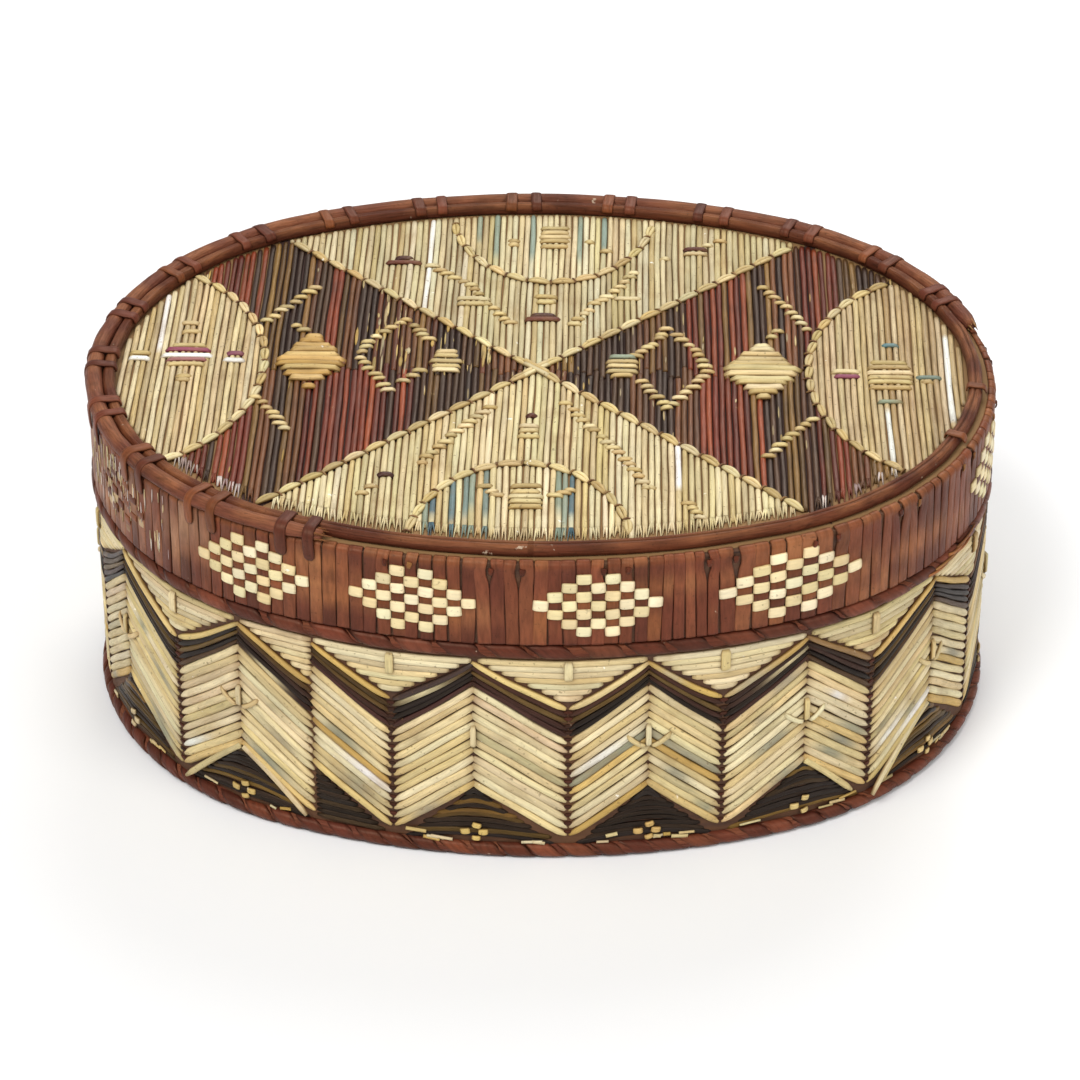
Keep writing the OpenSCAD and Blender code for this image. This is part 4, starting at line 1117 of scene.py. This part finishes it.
def wrap(heap, s, prof, lean, w, t, tones):
    """Thin root wound slantwise over a ring, lying flat on its section."""
    u, off, z, do, dz = over_section(prof, 16)
    size = np.hypot(do, dz)
    v = np.linspace(-1, 1, 9)
    high = t * (1 - 0.8 * np.abs(v) ** 5) * (1 + 0.15 * v)
    high[[0, -1]] = -0.15
    walk = s + lean * (u / u[-1] - 0.5)[:, None] + v * w / 2 + 0.15 * np.sin(u * 1.3 + jit(3))[:, None]
    ring, _ = on_oval(walk, off[:, None] + (dz / size)[:, None] * high,
                      z[:, None] - (do / size)[:, None] * high)
    # Darker towards both ends, where it goes round and under the ring: grime and painted shade
    heap.tube(ring, ring[:, 4], shade(pick(tones, 0.16), u, rise(0.55, arch(u / u[-1]))))


def strap(heap, s, prof, lean, w, t, tones, flat=0.6):
    """Root strap over a ring. Prof is offset and height; lean is how far it slants along the walk."""
    u, off, z, do, dz = over_section(prof, 18)
    p, nrm = on_oval(s + lean * (u / u[-1] - 0.5), off, z)
    up = nrm * dz[:, None] - UP * do[:, None]
    slim = rise(0.5, np.sqrt(unit(u / 1.6)))
    width = w * (1 + jit(0.1)) * slim
    # Darker at its lower end, where it tucks under the strips: grime and painted shade
    heap.strand(p, up, width, t * slim, shade(pick(tones, 0.12), u, rise(0.6, slim)), 9, flat)


def split_fibres(heap, s0, s1, z, count):
    """Pale fibres where a ring has split open."""
    t = np.linspace(0, 1, 8)
    for _ in range(count):
        s = rng.uniform(s0, s1) + t * rng.uniform(4, 11)
        p, nrm = on_oval(s, 0.15 + 0.35 * arch(t), z + jit(1.0) + jit(0.8) * t)
        heap.strand(p, nrm, 0.7 * (1.05 - t * t), 0.4, pick(["#b07a48", "#8f5a34", "#a86a3c"]), 5)


# Where the shoulder ring has split, and how many fibres show
SPLIT_FROM, SPLIT_TO, SPLIT_N = 88, 106, 9
SHOULDER_TONES = ["#5d2b1d", "#6a3423", "#50241a", "#763e2b"]


def ring_lashings():
    """Thin root wrapped slantwise round the foot ring and the shoulder ring."""
    for node, pitch, z, high, out, tones in (
        ("foot_ring_lashings", 6.5, 0, FOOT_H, FOOT_OUT, ROOT),
        ("shoulder_ring_lashings", 9.6, SHOULDER_Z, SHOULDER_H, SHOULDER_OUT, SHOULDER_TONES),
    ):
        h = Heap()
        n = round(ROUND_L / pitch)
        top = z + high
        prof = [(out - 1.3, z + 0.12), (out - 0.45, z + 0.3), (out + 0.02, z + 0.95),
                (out + 0.06, z + high / 2), (out + 0.02, top - 0.9), (out - 0.45, top - 0.25),
                (out - 1.5, top - 0.05)]
        for i in range(n):
            s = (i + 0.5) * ROUND_L / n + jit(0.6)
            wrap(h, s, prof, -4.5 + jit(1.2), pitch * (0.93 + jit(0.06)), 0.16 + jit(0.05), tones)
        if node == "shoulder_ring_lashings":
            split_fibres(h, SPLIT_FROM, SPLIT_TO, SHOULDER_Z + SHOULDER_H * 0.6, SPLIT_N)
        h.make(root_mat, "base", node, "split_root")


def rim_lashings():
    """Whole lashings over cap and inner root, and the stubs left where the cap is gone."""
    whole, stubs = Heap(), Heap()
    root_z = PANEL_Z + TOUCH
    for s, second in LASHINGS:
        at = s + jit(0.5)
        if has_cap(s):
            prof = [(0.12, FOLD_TOP - 5), (0.4, CAP_Z - 0.6), (0.62, CAP_Z + 1.2), (-0.4, CAP_Z + 2.55),
                    (-2.6, CAP_Z + 2.6), (-3.4, ROOT_TOP + 0.05), (-5.4, ROOT_TOP + 0.05),
                    (-6.15, root_z + 3.2), (-6.25, root_z + 1.0)]
            strap(whole, at, prof, jit(1.0), 2.5, 0.42, ROOT + RIM)
            continue
        prof = [(0.0, FOLD_TOP - 3.0), (0.2, FOLD_TOP - 2.2), (0.05, FOLD_TOP - 1.3)]
        strap(stubs, at, prof, jit(0.4), 1.2 + jit(0.2), 0.35, ["#4a1c10", "#5e2816", "#8a5a30"], 0.2)
        if second and LOOP_FROM < math.degrees(float(turn_at(s))) < LOOP_TO:
            prof = [(-2.0, ROOT_TOP - 1.6), (-2.6, ROOT_TOP), (-5.2, ROOT_TOP + 0.05), (-6.2, root_z + 3.0),
                    (-6.25, root_z + 1.6)]
            strap(stubs, at, prof, jit(0.8), 2.4, 0.36, RIM)
    whole.make(root_mat, "lid", "lid_rim_lashings", "split_root")
    stubs.make(root_mat, "lid", "lid_lashing_stubs", "split_root")


ring_lashings()
rim_lashings()


# Quilled wall
def seam_s(k):
    """Walk to the seam left of arm k. The hand-laid seams at the front stray."""
    from_stray = (k + 2) % ARM_N
    return FIRST_SEAM + k * ARM_PITCH + (SEAM_STRAY[from_stray] if from_stray < len(SEAM_STRAY) else 0)


def arm(k):
    return chord(seam_s(k), seam_s(k + 1), WALL_OFF)


def arm_w(k):
    return float(arm(k)[2])


def from_peak(k, x):
    """Place along arm k of a point at x from its peak. The even arms fall to the right."""
    return x if k % 2 == 0 else arm_w(k) - x


def arm_pts(k, x, z, out=0.0):
    """Points on the flat of arm k: x along it from its left seam, z up, out away from the bark."""
    p, _, _, d, nrm = arm(k)
    x, z, out = np.broadcast_arrays(np.asarray(x, float), np.asarray(z, float), np.asarray(out, float))
    return p + d * x[..., None] + nrm * out[..., None] + UP * z[..., None], nrm


ROW_TONES = {
    0: STRAW + ["#6b4a2c", "#4f3524", "#3a2820", "#8a6a40"],
    1: ["#33241f", "#442a23", "#26201e", "#4f3a22"],
    2: ["#5c4626", "#26201e", "#6b5430", "#3a2822"],
    3: ["#221d1b", "#29211e", "#3e2620", "#1d1817"],
    4: ["#33221f", "#221d1b", "#462c28", "#4d3826"],
    10: FADED + WALL_CREAM,
    11: STRAW + WALL_CREAM,
    16: STRAW,
}
# Share of the arm's height that a row takes: the dyed quills are finer, and finest tucked in at a peak
VEE_SHARE = np.array([0.9] + [0.86] * 4 + [1.07] * 12)
PEAK_SHARE = np.array([0.7] + [0.62] * 4 + [1.18] * 12)
VEE_EDGE, PEAK_EDGE = (np.concatenate([[0], np.cumsum(a / a.sum())]) for a in (VEE_SHARE, PEAK_SHARE))


def arm_quill(heap, k, z_peak, z_vee, w_peak, w_vee, col, sag=0.0, blotch=None):
    """One slanting quill of an arm, round-ended at the V and tucked under its neighbours at the peak."""
    length = arm_w(k)
    over = rng.uniform(-0.1, 0.4)
    x = np.concatenate([[-over, 0.5, 1.2, 2.2], np.linspace(0.22, 0.8, 6) * length,
                        length - np.array([2.0, 1.3, 0.85, 0.55, 0.36]) + rng.uniform(-0.25, 0.2)])
    along = x / length
    bow = arch(unit(along))
    z = blend(z_peak, z_vee, along) + 0.1 * np.sin(x * 0.45 + rng.uniform(0, PHASE)) - sag * bow
    vee = unit((length - 0.34 - x) / 2.0)
    round_end = np.sqrt(vee)
    peak = unit((x + over) / 1.8)
    at_peak = along < 0.5
    width = blend(w_peak, w_vee, along) * (1 + jit(0.08))
    width = width * np.where(at_peak, rise(0.62, np.sqrt(peak)), rise(0.22, round_end))
    height = QUILL_H * (1.1 + jit(0.15)) * np.where(at_peak, rise(0.55, peak), rise(0.5, round_end))
    lift = 0.02 + 0.12 * bow - 0.2 * (1 - vee) * (along > 0.5)
    # Darker at the peak, where the quill tucks under its neighbours, and at its round V end: grime and
    # painted shade
    tints = shade(col, x, rise(0.35, np.where(at_peak, peak, round_end)))
    if blotch is not None:
        patch = np.exp(-((along - rng.uniform(0.2, 0.8)) / rng.uniform(0.1, 0.3)) ** 2)[:, None]
        tints = blend(tints, blotch, patch)
    p, nrm = arm_pts(k, from_peak(k, x), z, lift)
    heap.strand(p, nrm, width, height, tints)


SAG = rng.uniform(0.0, 1.0, ARM_N)
# Arm, share of its length, droop and stand-off of the bottom quills that have come away
LOOSE = ((29, 0.85, 2.4, 1.8), (30, 0.9, 1.2, 1.0), (6, 0.7, 1.9, 1.4), (7, 1.0, 1.3, 1.6),
         (7, 0.8, 2.2, 1.0))


def loose_quill(heap, k, share, droop, out):
    t = np.linspace(0.02, 1, 12)
    x = t * share * arm_w(k)
    z = PEAK_LO + 0.4 + (VEE_LO - PEAK_LO) * t * share - droop * t ** 1.5
    end = unit((1 - t) * 9)
    p, nrm = arm_pts(k, from_peak(k, x), z, 0.3 + out * t ** 2)
    tints = shade(pick(WALL_CREAM), x, rise(0.5, end))
    heap.strand(p, nrm, 1.5 * rise(0.55, np.sqrt(end)), QUILL_H, tints)


def chevrons():
    for name, j0, j1, slot in (
        ("wall_border_quills", 0, 0, "stitch_quill"), ("wall_dark_chevron_quills", 1, 4, "dark_quill"),
        ("wall_upper_cream_quills", 5, 9, "cream_quill"), ("wall_faded_quills", 10, 11, "faded_quill"),
        ("wall_lower_cream_quills", 12, 16, "cream_quill"),
    ):
        h = Heap()
        for k in range(ARM_N):
            for j in range(j0, j1 + 1):
                top = blend(PEAK_HI, PEAK_LO, PEAK_EDGE[j:j + 2])
                low = blend(VEE_HI, VEE_LO, VEE_EDGE[j:j + 2])
                zp, zv = top.mean(), low.mean()
                tilt = math.cos(math.atan2(zp - zv, arm_w(k)))
                wp, wv = (np.ptp(a) * tilt + 0.04 for a in (top, low))
                blotch = pick(FADED) if slot != "dark_quill" and chance(0.2) else None
                if slot == "dark_quill" and chance(0.08):
                    blotch = pick(TAN)
                if slot == "cream_quill" and chance(0.05):
                    blotch = pick(WHITE, 0.03) * 0.9
                zp, zv = zp + jit(0.2), zv + jit(0.12)
                col = pick(ROW_TONES.get(j, WALL_CREAM), 0.12)
                arm_quill(h, k, zp, zv, wp, wv, col, SAG[k] * max(0, 1 - j / 6), blotch)
        if name == "wall_lower_cream_quills":
            for arm, share, droop, out in LOOSE:
                loose_quill(h, arm, share, droop, out)
        h.make(wall_dark_mat if slot == "dark_quill" else quill_mat, "base", name, slot)


# Length over which a level quill goes in, and rows of the triangles at the top and at the foot of the wall
TUCK = 0.9
TOP_ROWS, FOOT_ROWS = 7, 10


def level_quill(heap, p, up, x, end, w, hgt, col):
    """A level quill that narrows and darkens at its ends."""
    # Its ends darken where they go in: grime and painted shade
    heap.strand(p, up, w * rise(0.65, np.sqrt(end)), hgt * rise(0.6, end), shade(col, x, rise(0.4, end)))


def half_quill(heap, k, x0, x1, z0, z1, w, hgt, col):
    """A level quill on the flat of one arm."""
    x = np.linspace(x0, x1, 9)
    end = ends(x, x0, x1, TUCK)
    p, nrm = arm_pts(k, x, np.linspace(z0, z1, 9), 0.02 - 0.15 * (1 - end))
    level_quill(heap, p, nrm, x, end, w, hgt, col)


def over_seam(heap, k, far_l, far_r, z_mid, z_end, w, hgt, col):
    """A level quill that bends over the seam between arms k and k+1."""
    xs = np.array([-1, -0.95, -0.85, -0.6, -0.35, -0.12])
    sink = np.array([-0.3, -0.22, -0.08, 0.02, 0.02, 0.02])
    z = blend(z_mid, z_end, xs ** 2)
    pl, nl = arm_pts(k, arm_w(k) + xs * far_l, z, sink)
    xr = -xs[::-1]
    pr, nr = arm_pts(k + 1, xr * far_r, z[::-1], sink[::-1])
    up = np.concatenate([np.broadcast_to(nl, pl.shape), np.broadcast_to(nr, pr.shape)])
    x = np.concatenate([xs * far_l, xr * far_r])
    level_quill(heap, np.concatenate([pl, pr]), up, x, ends(x, -far_l, far_r, TUCK), w, hgt, col)


def top_triangles():
    h = Heap()
    pitch = (PEAK_HI - VEE_HI) / (TOP_ROWS + 0.7)
    last = ARM_N - 1
    for j in range(TOP_ROWS):
        z = PEAK_HI + 0.55 - (j + 0.5) * pitch
        share = 1 - (j + 0.3) / (TOP_ROWS + 0.4)
        for k in range(0, last, 2):
            over_seam(h, k, share * arm_w(k) + jit(0.3), share * arm_w(k + 1) + jit(0.4),
                      z - 0.2 + jit(0.15), z + jit(0.12), pitch + 0.2, QUILL_H, pick(WALL_CREAM, 0.1))
        half_quill(h, last, arm_w(last) * (1 - share), arm_w(last) - 0.1, z, z + jit(0.2), pitch + 0.12,
                   QUILL_H, pick(WALL_CREAM, 0.12))
    h.make(quill_mat, "base", "wall_triangle_quills", "cream_quill")


def foot_triangles():
    """Fine dark strands that arch between the arms, with slivers of pale quill along the foot ring."""
    h = Heap()
    pitch = (PEAK_LO - FOOT_H - 1.4) / FOOT_ROWS
    for j in range(FOOT_ROWS):
        z = FOOT_H + 0.3 + (j + 0.5) * pitch
        share = 1 - (j + 1.3) / (FOOT_ROWS + 1.5)
        for k in range(1, ARM_N - 1, 2):
            tones = (FOOT_DARK, FOOT_DARK, FOOT_DARK, FOOT_GOLD)[rng.randint(4)]
            over_seam(h, k, share * arm_w(k) + jit(0.5), share * arm_w(k + 1) + jit(0.5),
                      z + 1.1 + jit(0.3), z - 1.1 + jit(0.3), pitch + 0.05 + jit(0.2),
                      QUILL_H * (0.75 + jit(0.15)), pick(tones, 0.15))
        half_quill(h, 0, 0.1, arm_w(0) * share, z + 0.5, z - 0.4, pitch, QUILL_H * 0.75,
                   pick(FOOT_DARK, 0.15))
    t = np.linspace(0, 1, 7)
    for k in range(1, ARM_N - 1, 2):
        for _ in range(rng.randint(3, 9)):
            arm = k + rng.randint(2)
            x0 = rng.uniform(1, arm_w(arm) - 7)
            z = FOOT_H + rng.uniform(0.2, 1.0) + 1.6 * rng.uniform() ** 3
            p, nrm = arm_pts(arm, x0 + t * rng.uniform(0.8, 5), z + jit(0.6) * t, 0.62)
            h.strand(p, nrm, 0.75 + jit(0.25), 0.3, pick(TAN + STRAW + WALL_CREAM, 0.12), 7)
    h.make(wall_dark_mat, "base", "wall_foot_quills", "dark_quill")


def seam_tie(heap, k, z0, z1, w, hgt, col, flat=0.3):
    """A short upright stitch over the seam k."""
    z = np.linspace(z0, z1, 9)
    end = ends(z, z0, z1, 0.7)
    p, nrm = on_oval(seam_s(k), WALL_OFF + QUILL_H * 0.7 + 0.35 * np.sqrt(end), z)
    # Its ends darken where they go under: grime and painted shade
    heap.strand(p, nrm, w * rise(0.75, end), hgt * rise(0.5, end), shade(col, z, rise(0.4, end)), 9, flat)


def pad(heap, k, x, z, w, hgt, col):
    """A small square of quill lying on the flat of arm k."""
    t = np.linspace(-1, 1, 7)
    p, nrm = arm_pts(k, x + t * w / 2, z + t * jit(0.2), QUILL_H * 0.6 + 0.25 * (1 - t ** 4))
    # Darker towards its ends, where it curves down: painted shade
    heap.strand(p, nrm, hgt * (1 - 0.12 * t ** 4), 0.4, shade(col, t, 1 - 0.5 * t ** 6), 9, 0.6)


def vee_stitch(heap, k, share):
    """Dark root stitch over the seam of a V, at a share of its height."""
    u = np.linspace(-1, 1, 7)
    s = seam_s(k) + u * (0.9 + jit(0.15))
    p, nrm = on_oval(s, WALL_OFF + 0.12, blend(VEE_HI, VEE_LO, share) + 0.15 + jit(0.1))
    lens = np.sqrt(1 - 0.9 * u * u)
    heap.strand(p, nrm, (0.95 + jit(0.15)) * lens, 0.22 * lens, pick(SEWING, 0.15), 7)


def peak_curl(heap, k, z0, col):
    """Curved quill on arm k beside the tie of its peak."""
    t = np.linspace(0, 1, 10)
    x = 0.6 + (4.0 + jit(0.5)) * t
    end = ends(t, 0, 1, 1 / 7)
    lift = QUILL_H * 0.75 + 0.35 * np.sqrt(end)
    p, nrm = arm_pts(k, from_peak(k, x), z0 + 2.7 * t ** 1.6, lift)
    # Its ends darken where they go in: grime and painted shade
    heap.strand(p, nrm, 1.2 * rise(0.6, end), 0.55 * rise(0.5, end), shade(col, t * 5, rise(0.4, end)))


# Height of the peak ties as a share of the arms' height, and the stretch where one has lost its curls
TIE_SHARE = 0.39
CURLS_LOST = (-20, -5)


def wall_ties():
    tri, peaks, foot, stitches = Heap(), Heap(), Heap(), Heap()
    mid = blend(PEAK_LO, PEAK_HI, TIE_SHARE)
    for k in range(1, ARM_N - 1, 2):
        top = PEAK_HI + 0.3 + jit(0.3)
        seam_tie(tri, k, top - 4.9 + jit(0.4), top, 2.1 + jit(0.3), 0.5, pick(STITCH + WALL_CREAM), 0.7)
        for share in VEE_EDGE[1:-1]:
            vee_stitch(stitches, k, share)
    for k in range(2, ARM_N, 2):
        seam_tie(peaks, k, mid - 1.5 + jit(0.4), mid + 3.5 + jit(0.4), 1.3, 0.6, pick(WALL_CREAM))
        col = pick(WALL_CREAM)
        if not within(signed(seam_s(k)), [CURLS_LOST]):
            for side in (k, k - 1):
                peak_curl(peaks, side, mid - 1.8, col)
        z = FOOT_H + 3.0 + jit(0.4)
        col = pick(TAN + STRAW, 0.1)
        for side in (k, k - 1):
            if chance(0.8):
                pad(foot, side, from_peak(side, 1.9), z, 1.7, 1.5, col)
        pad(foot, k, 0.5, z + 1.7, 1.5, 1.3, col)
        pad(foot, k, 0.4, z - 1.6, 1.4, 1.2, col)
    tri.make(quill_mat, "base", "wall_triangle_ties", "stitch_quill")
    peaks.make(quill_mat, "base", "wall_peak_ties", "stitch_quill")
    foot.make(quill_mat, "base", "wall_foot_ties", "stitch_quill")
    stitches.make(root_mat, "base", "wall_seam_stitches", "split_root")


chevrons()
top_triangles()
foot_triangles()
wall_ties()


# Floor, light and camera
# The floor's glow grows to the back, by a share of the distance in metres, and to the right from a place on
GLOW_BASE, GLOW_BACK, GLOW_SLANT = 0.01, 0.5, 0.08
GLOW_RIGHT_FROM, GLOW_RIGHT, GLOW_RIGHT_MAX = 0.088, 4.0, 0.2
WORLD_LIGHT = 0.42


def floor_mat():
    """Pale floor that glows a little for the camera, so that it goes white away from the box."""
    mat, nt, bsdf = new_mat("floor")
    set_bsdf(nt, bsdf, (0.86, 0.86, 0.86), 0.9, 0.1)
    xyz = parts(nt, place(nt))
    back = calc(nt, "SUBTRACT", xyz["Y"], calc(nt, "MULTIPLY", xyz["X"], GLOW_SLANT))
    right = calc(nt, "MAXIMUM", calc(nt, "SUBTRACT", xyz["X"], GLOW_RIGHT_FROM), 0.0)
    lift = calc(nt, "MINIMUM", calc(nt, "MULTIPLY", right, GLOW_RIGHT), GLOW_RIGHT_MAX)
    level = calc(nt, "ADD", calc(nt, "MULTIPLY", back, GLOW_BACK), calc(nt, "ADD", lift, GLOW_BASE))
    seen = shader(nt, "LightPath").outputs["Is Camera Ray"]
    glow = shader(nt, "Emission", Color=(1, 1, 1), Strength=calc(nt, "MULTIPLY", seen, level))
    add = shader(nt, "AddShader")
    nt.links.new(bsdf.outputs["BSDF"], add.inputs[0])
    nt.links.new(glow.outputs["Emission"], add.inputs[1])
    nt.links.new(add.outputs["Shader"], nt.nodes["Material Output"].inputs["Surface"])
    return mat


def add_floor():
    me = bpy.data.meshes.new("floor")
    s, z = 4.0, -0.0002
    me.from_pydata([(-s, -s, z), (s, -s, z), (s, s, z), (-s, s, z)], [], [(0, 1, 2, 3)])
    ob = bpy.data.objects.new("floor", me)
    scene.collection.objects.link(ob)
    me.materials.append(floor_mat())


def lamp(name, loc, target, size, power):
    d = bpy.data.lights.new(name, "AREA")
    d.shape = "DISK"
    d.size = size
    d.energy = power
    ob = bpy.data.objects.new(name, d)
    ob.location = loc
    ob.rotation_euler = (Vector(target) - Vector(loc)).to_track_quat("-Z", "Y").to_euler()
    scene.collection.objects.link(ob)


def add_world():
    world = bpy.data.worlds.new("studio") if scene.world is None else scene.world
    scene.world = world
    world.use_nodes = True
    bg = world.node_tree.nodes.get("Background")
    bg.inputs["Color"].default_value = (1, 1, 1, 1)
    bg.inputs["Strength"].default_value = WORLD_LIGHT


def add_camera():
    """Camera at the photograph's place, found by fitting the outlines of rim, band and foot."""
    focal_px, frame_px, below_px, right_px = 4324, 1080, 30.6, -1.6
    el, az, dist = math.radians(32.53), math.radians(1.06), 0.974
    cam = bpy.data.cameras.new("camera")
    cam.sensor_width = 36.0
    cam.lens = focal_px / frame_px * cam.sensor_width
    cam.clip_start = 0.01
    cam.clip_end = 20
    eye = bpy.data.objects.new("camera", cam)
    look = Vector((math.sin(-az), math.cos(az) * math.cos(el), -math.sin(el))).normalized()
    right = look.cross(Vector((0, 0, 1))).normalized()
    up = right.cross(look)
    eye.location = Vector((0, 0, BOX_H / 2 * MM)) - look * dist
    aim = look - up * (below_px / focal_px) + right * (right_px / focal_px)
    eye.rotation_euler = aim.to_track_quat("-Z", "Y").to_euler()
    scene.collection.objects.link(eye)
    scene.camera = eye


add_floor()
add_world()
lamp("key", (-0.5, -0.7, 1.2), (0, 0, 0.04), 0.7, 14)
lamp("fill", (0.9, -0.8, 0.8), (0, 0, 0.04), 0.9, 7)
lamp("back", (0.2, 0.9, 1.0), (0, 0, 0.06), 0.8, 7)
add_camera()
scene.view_settings.view_transform = "Standard"
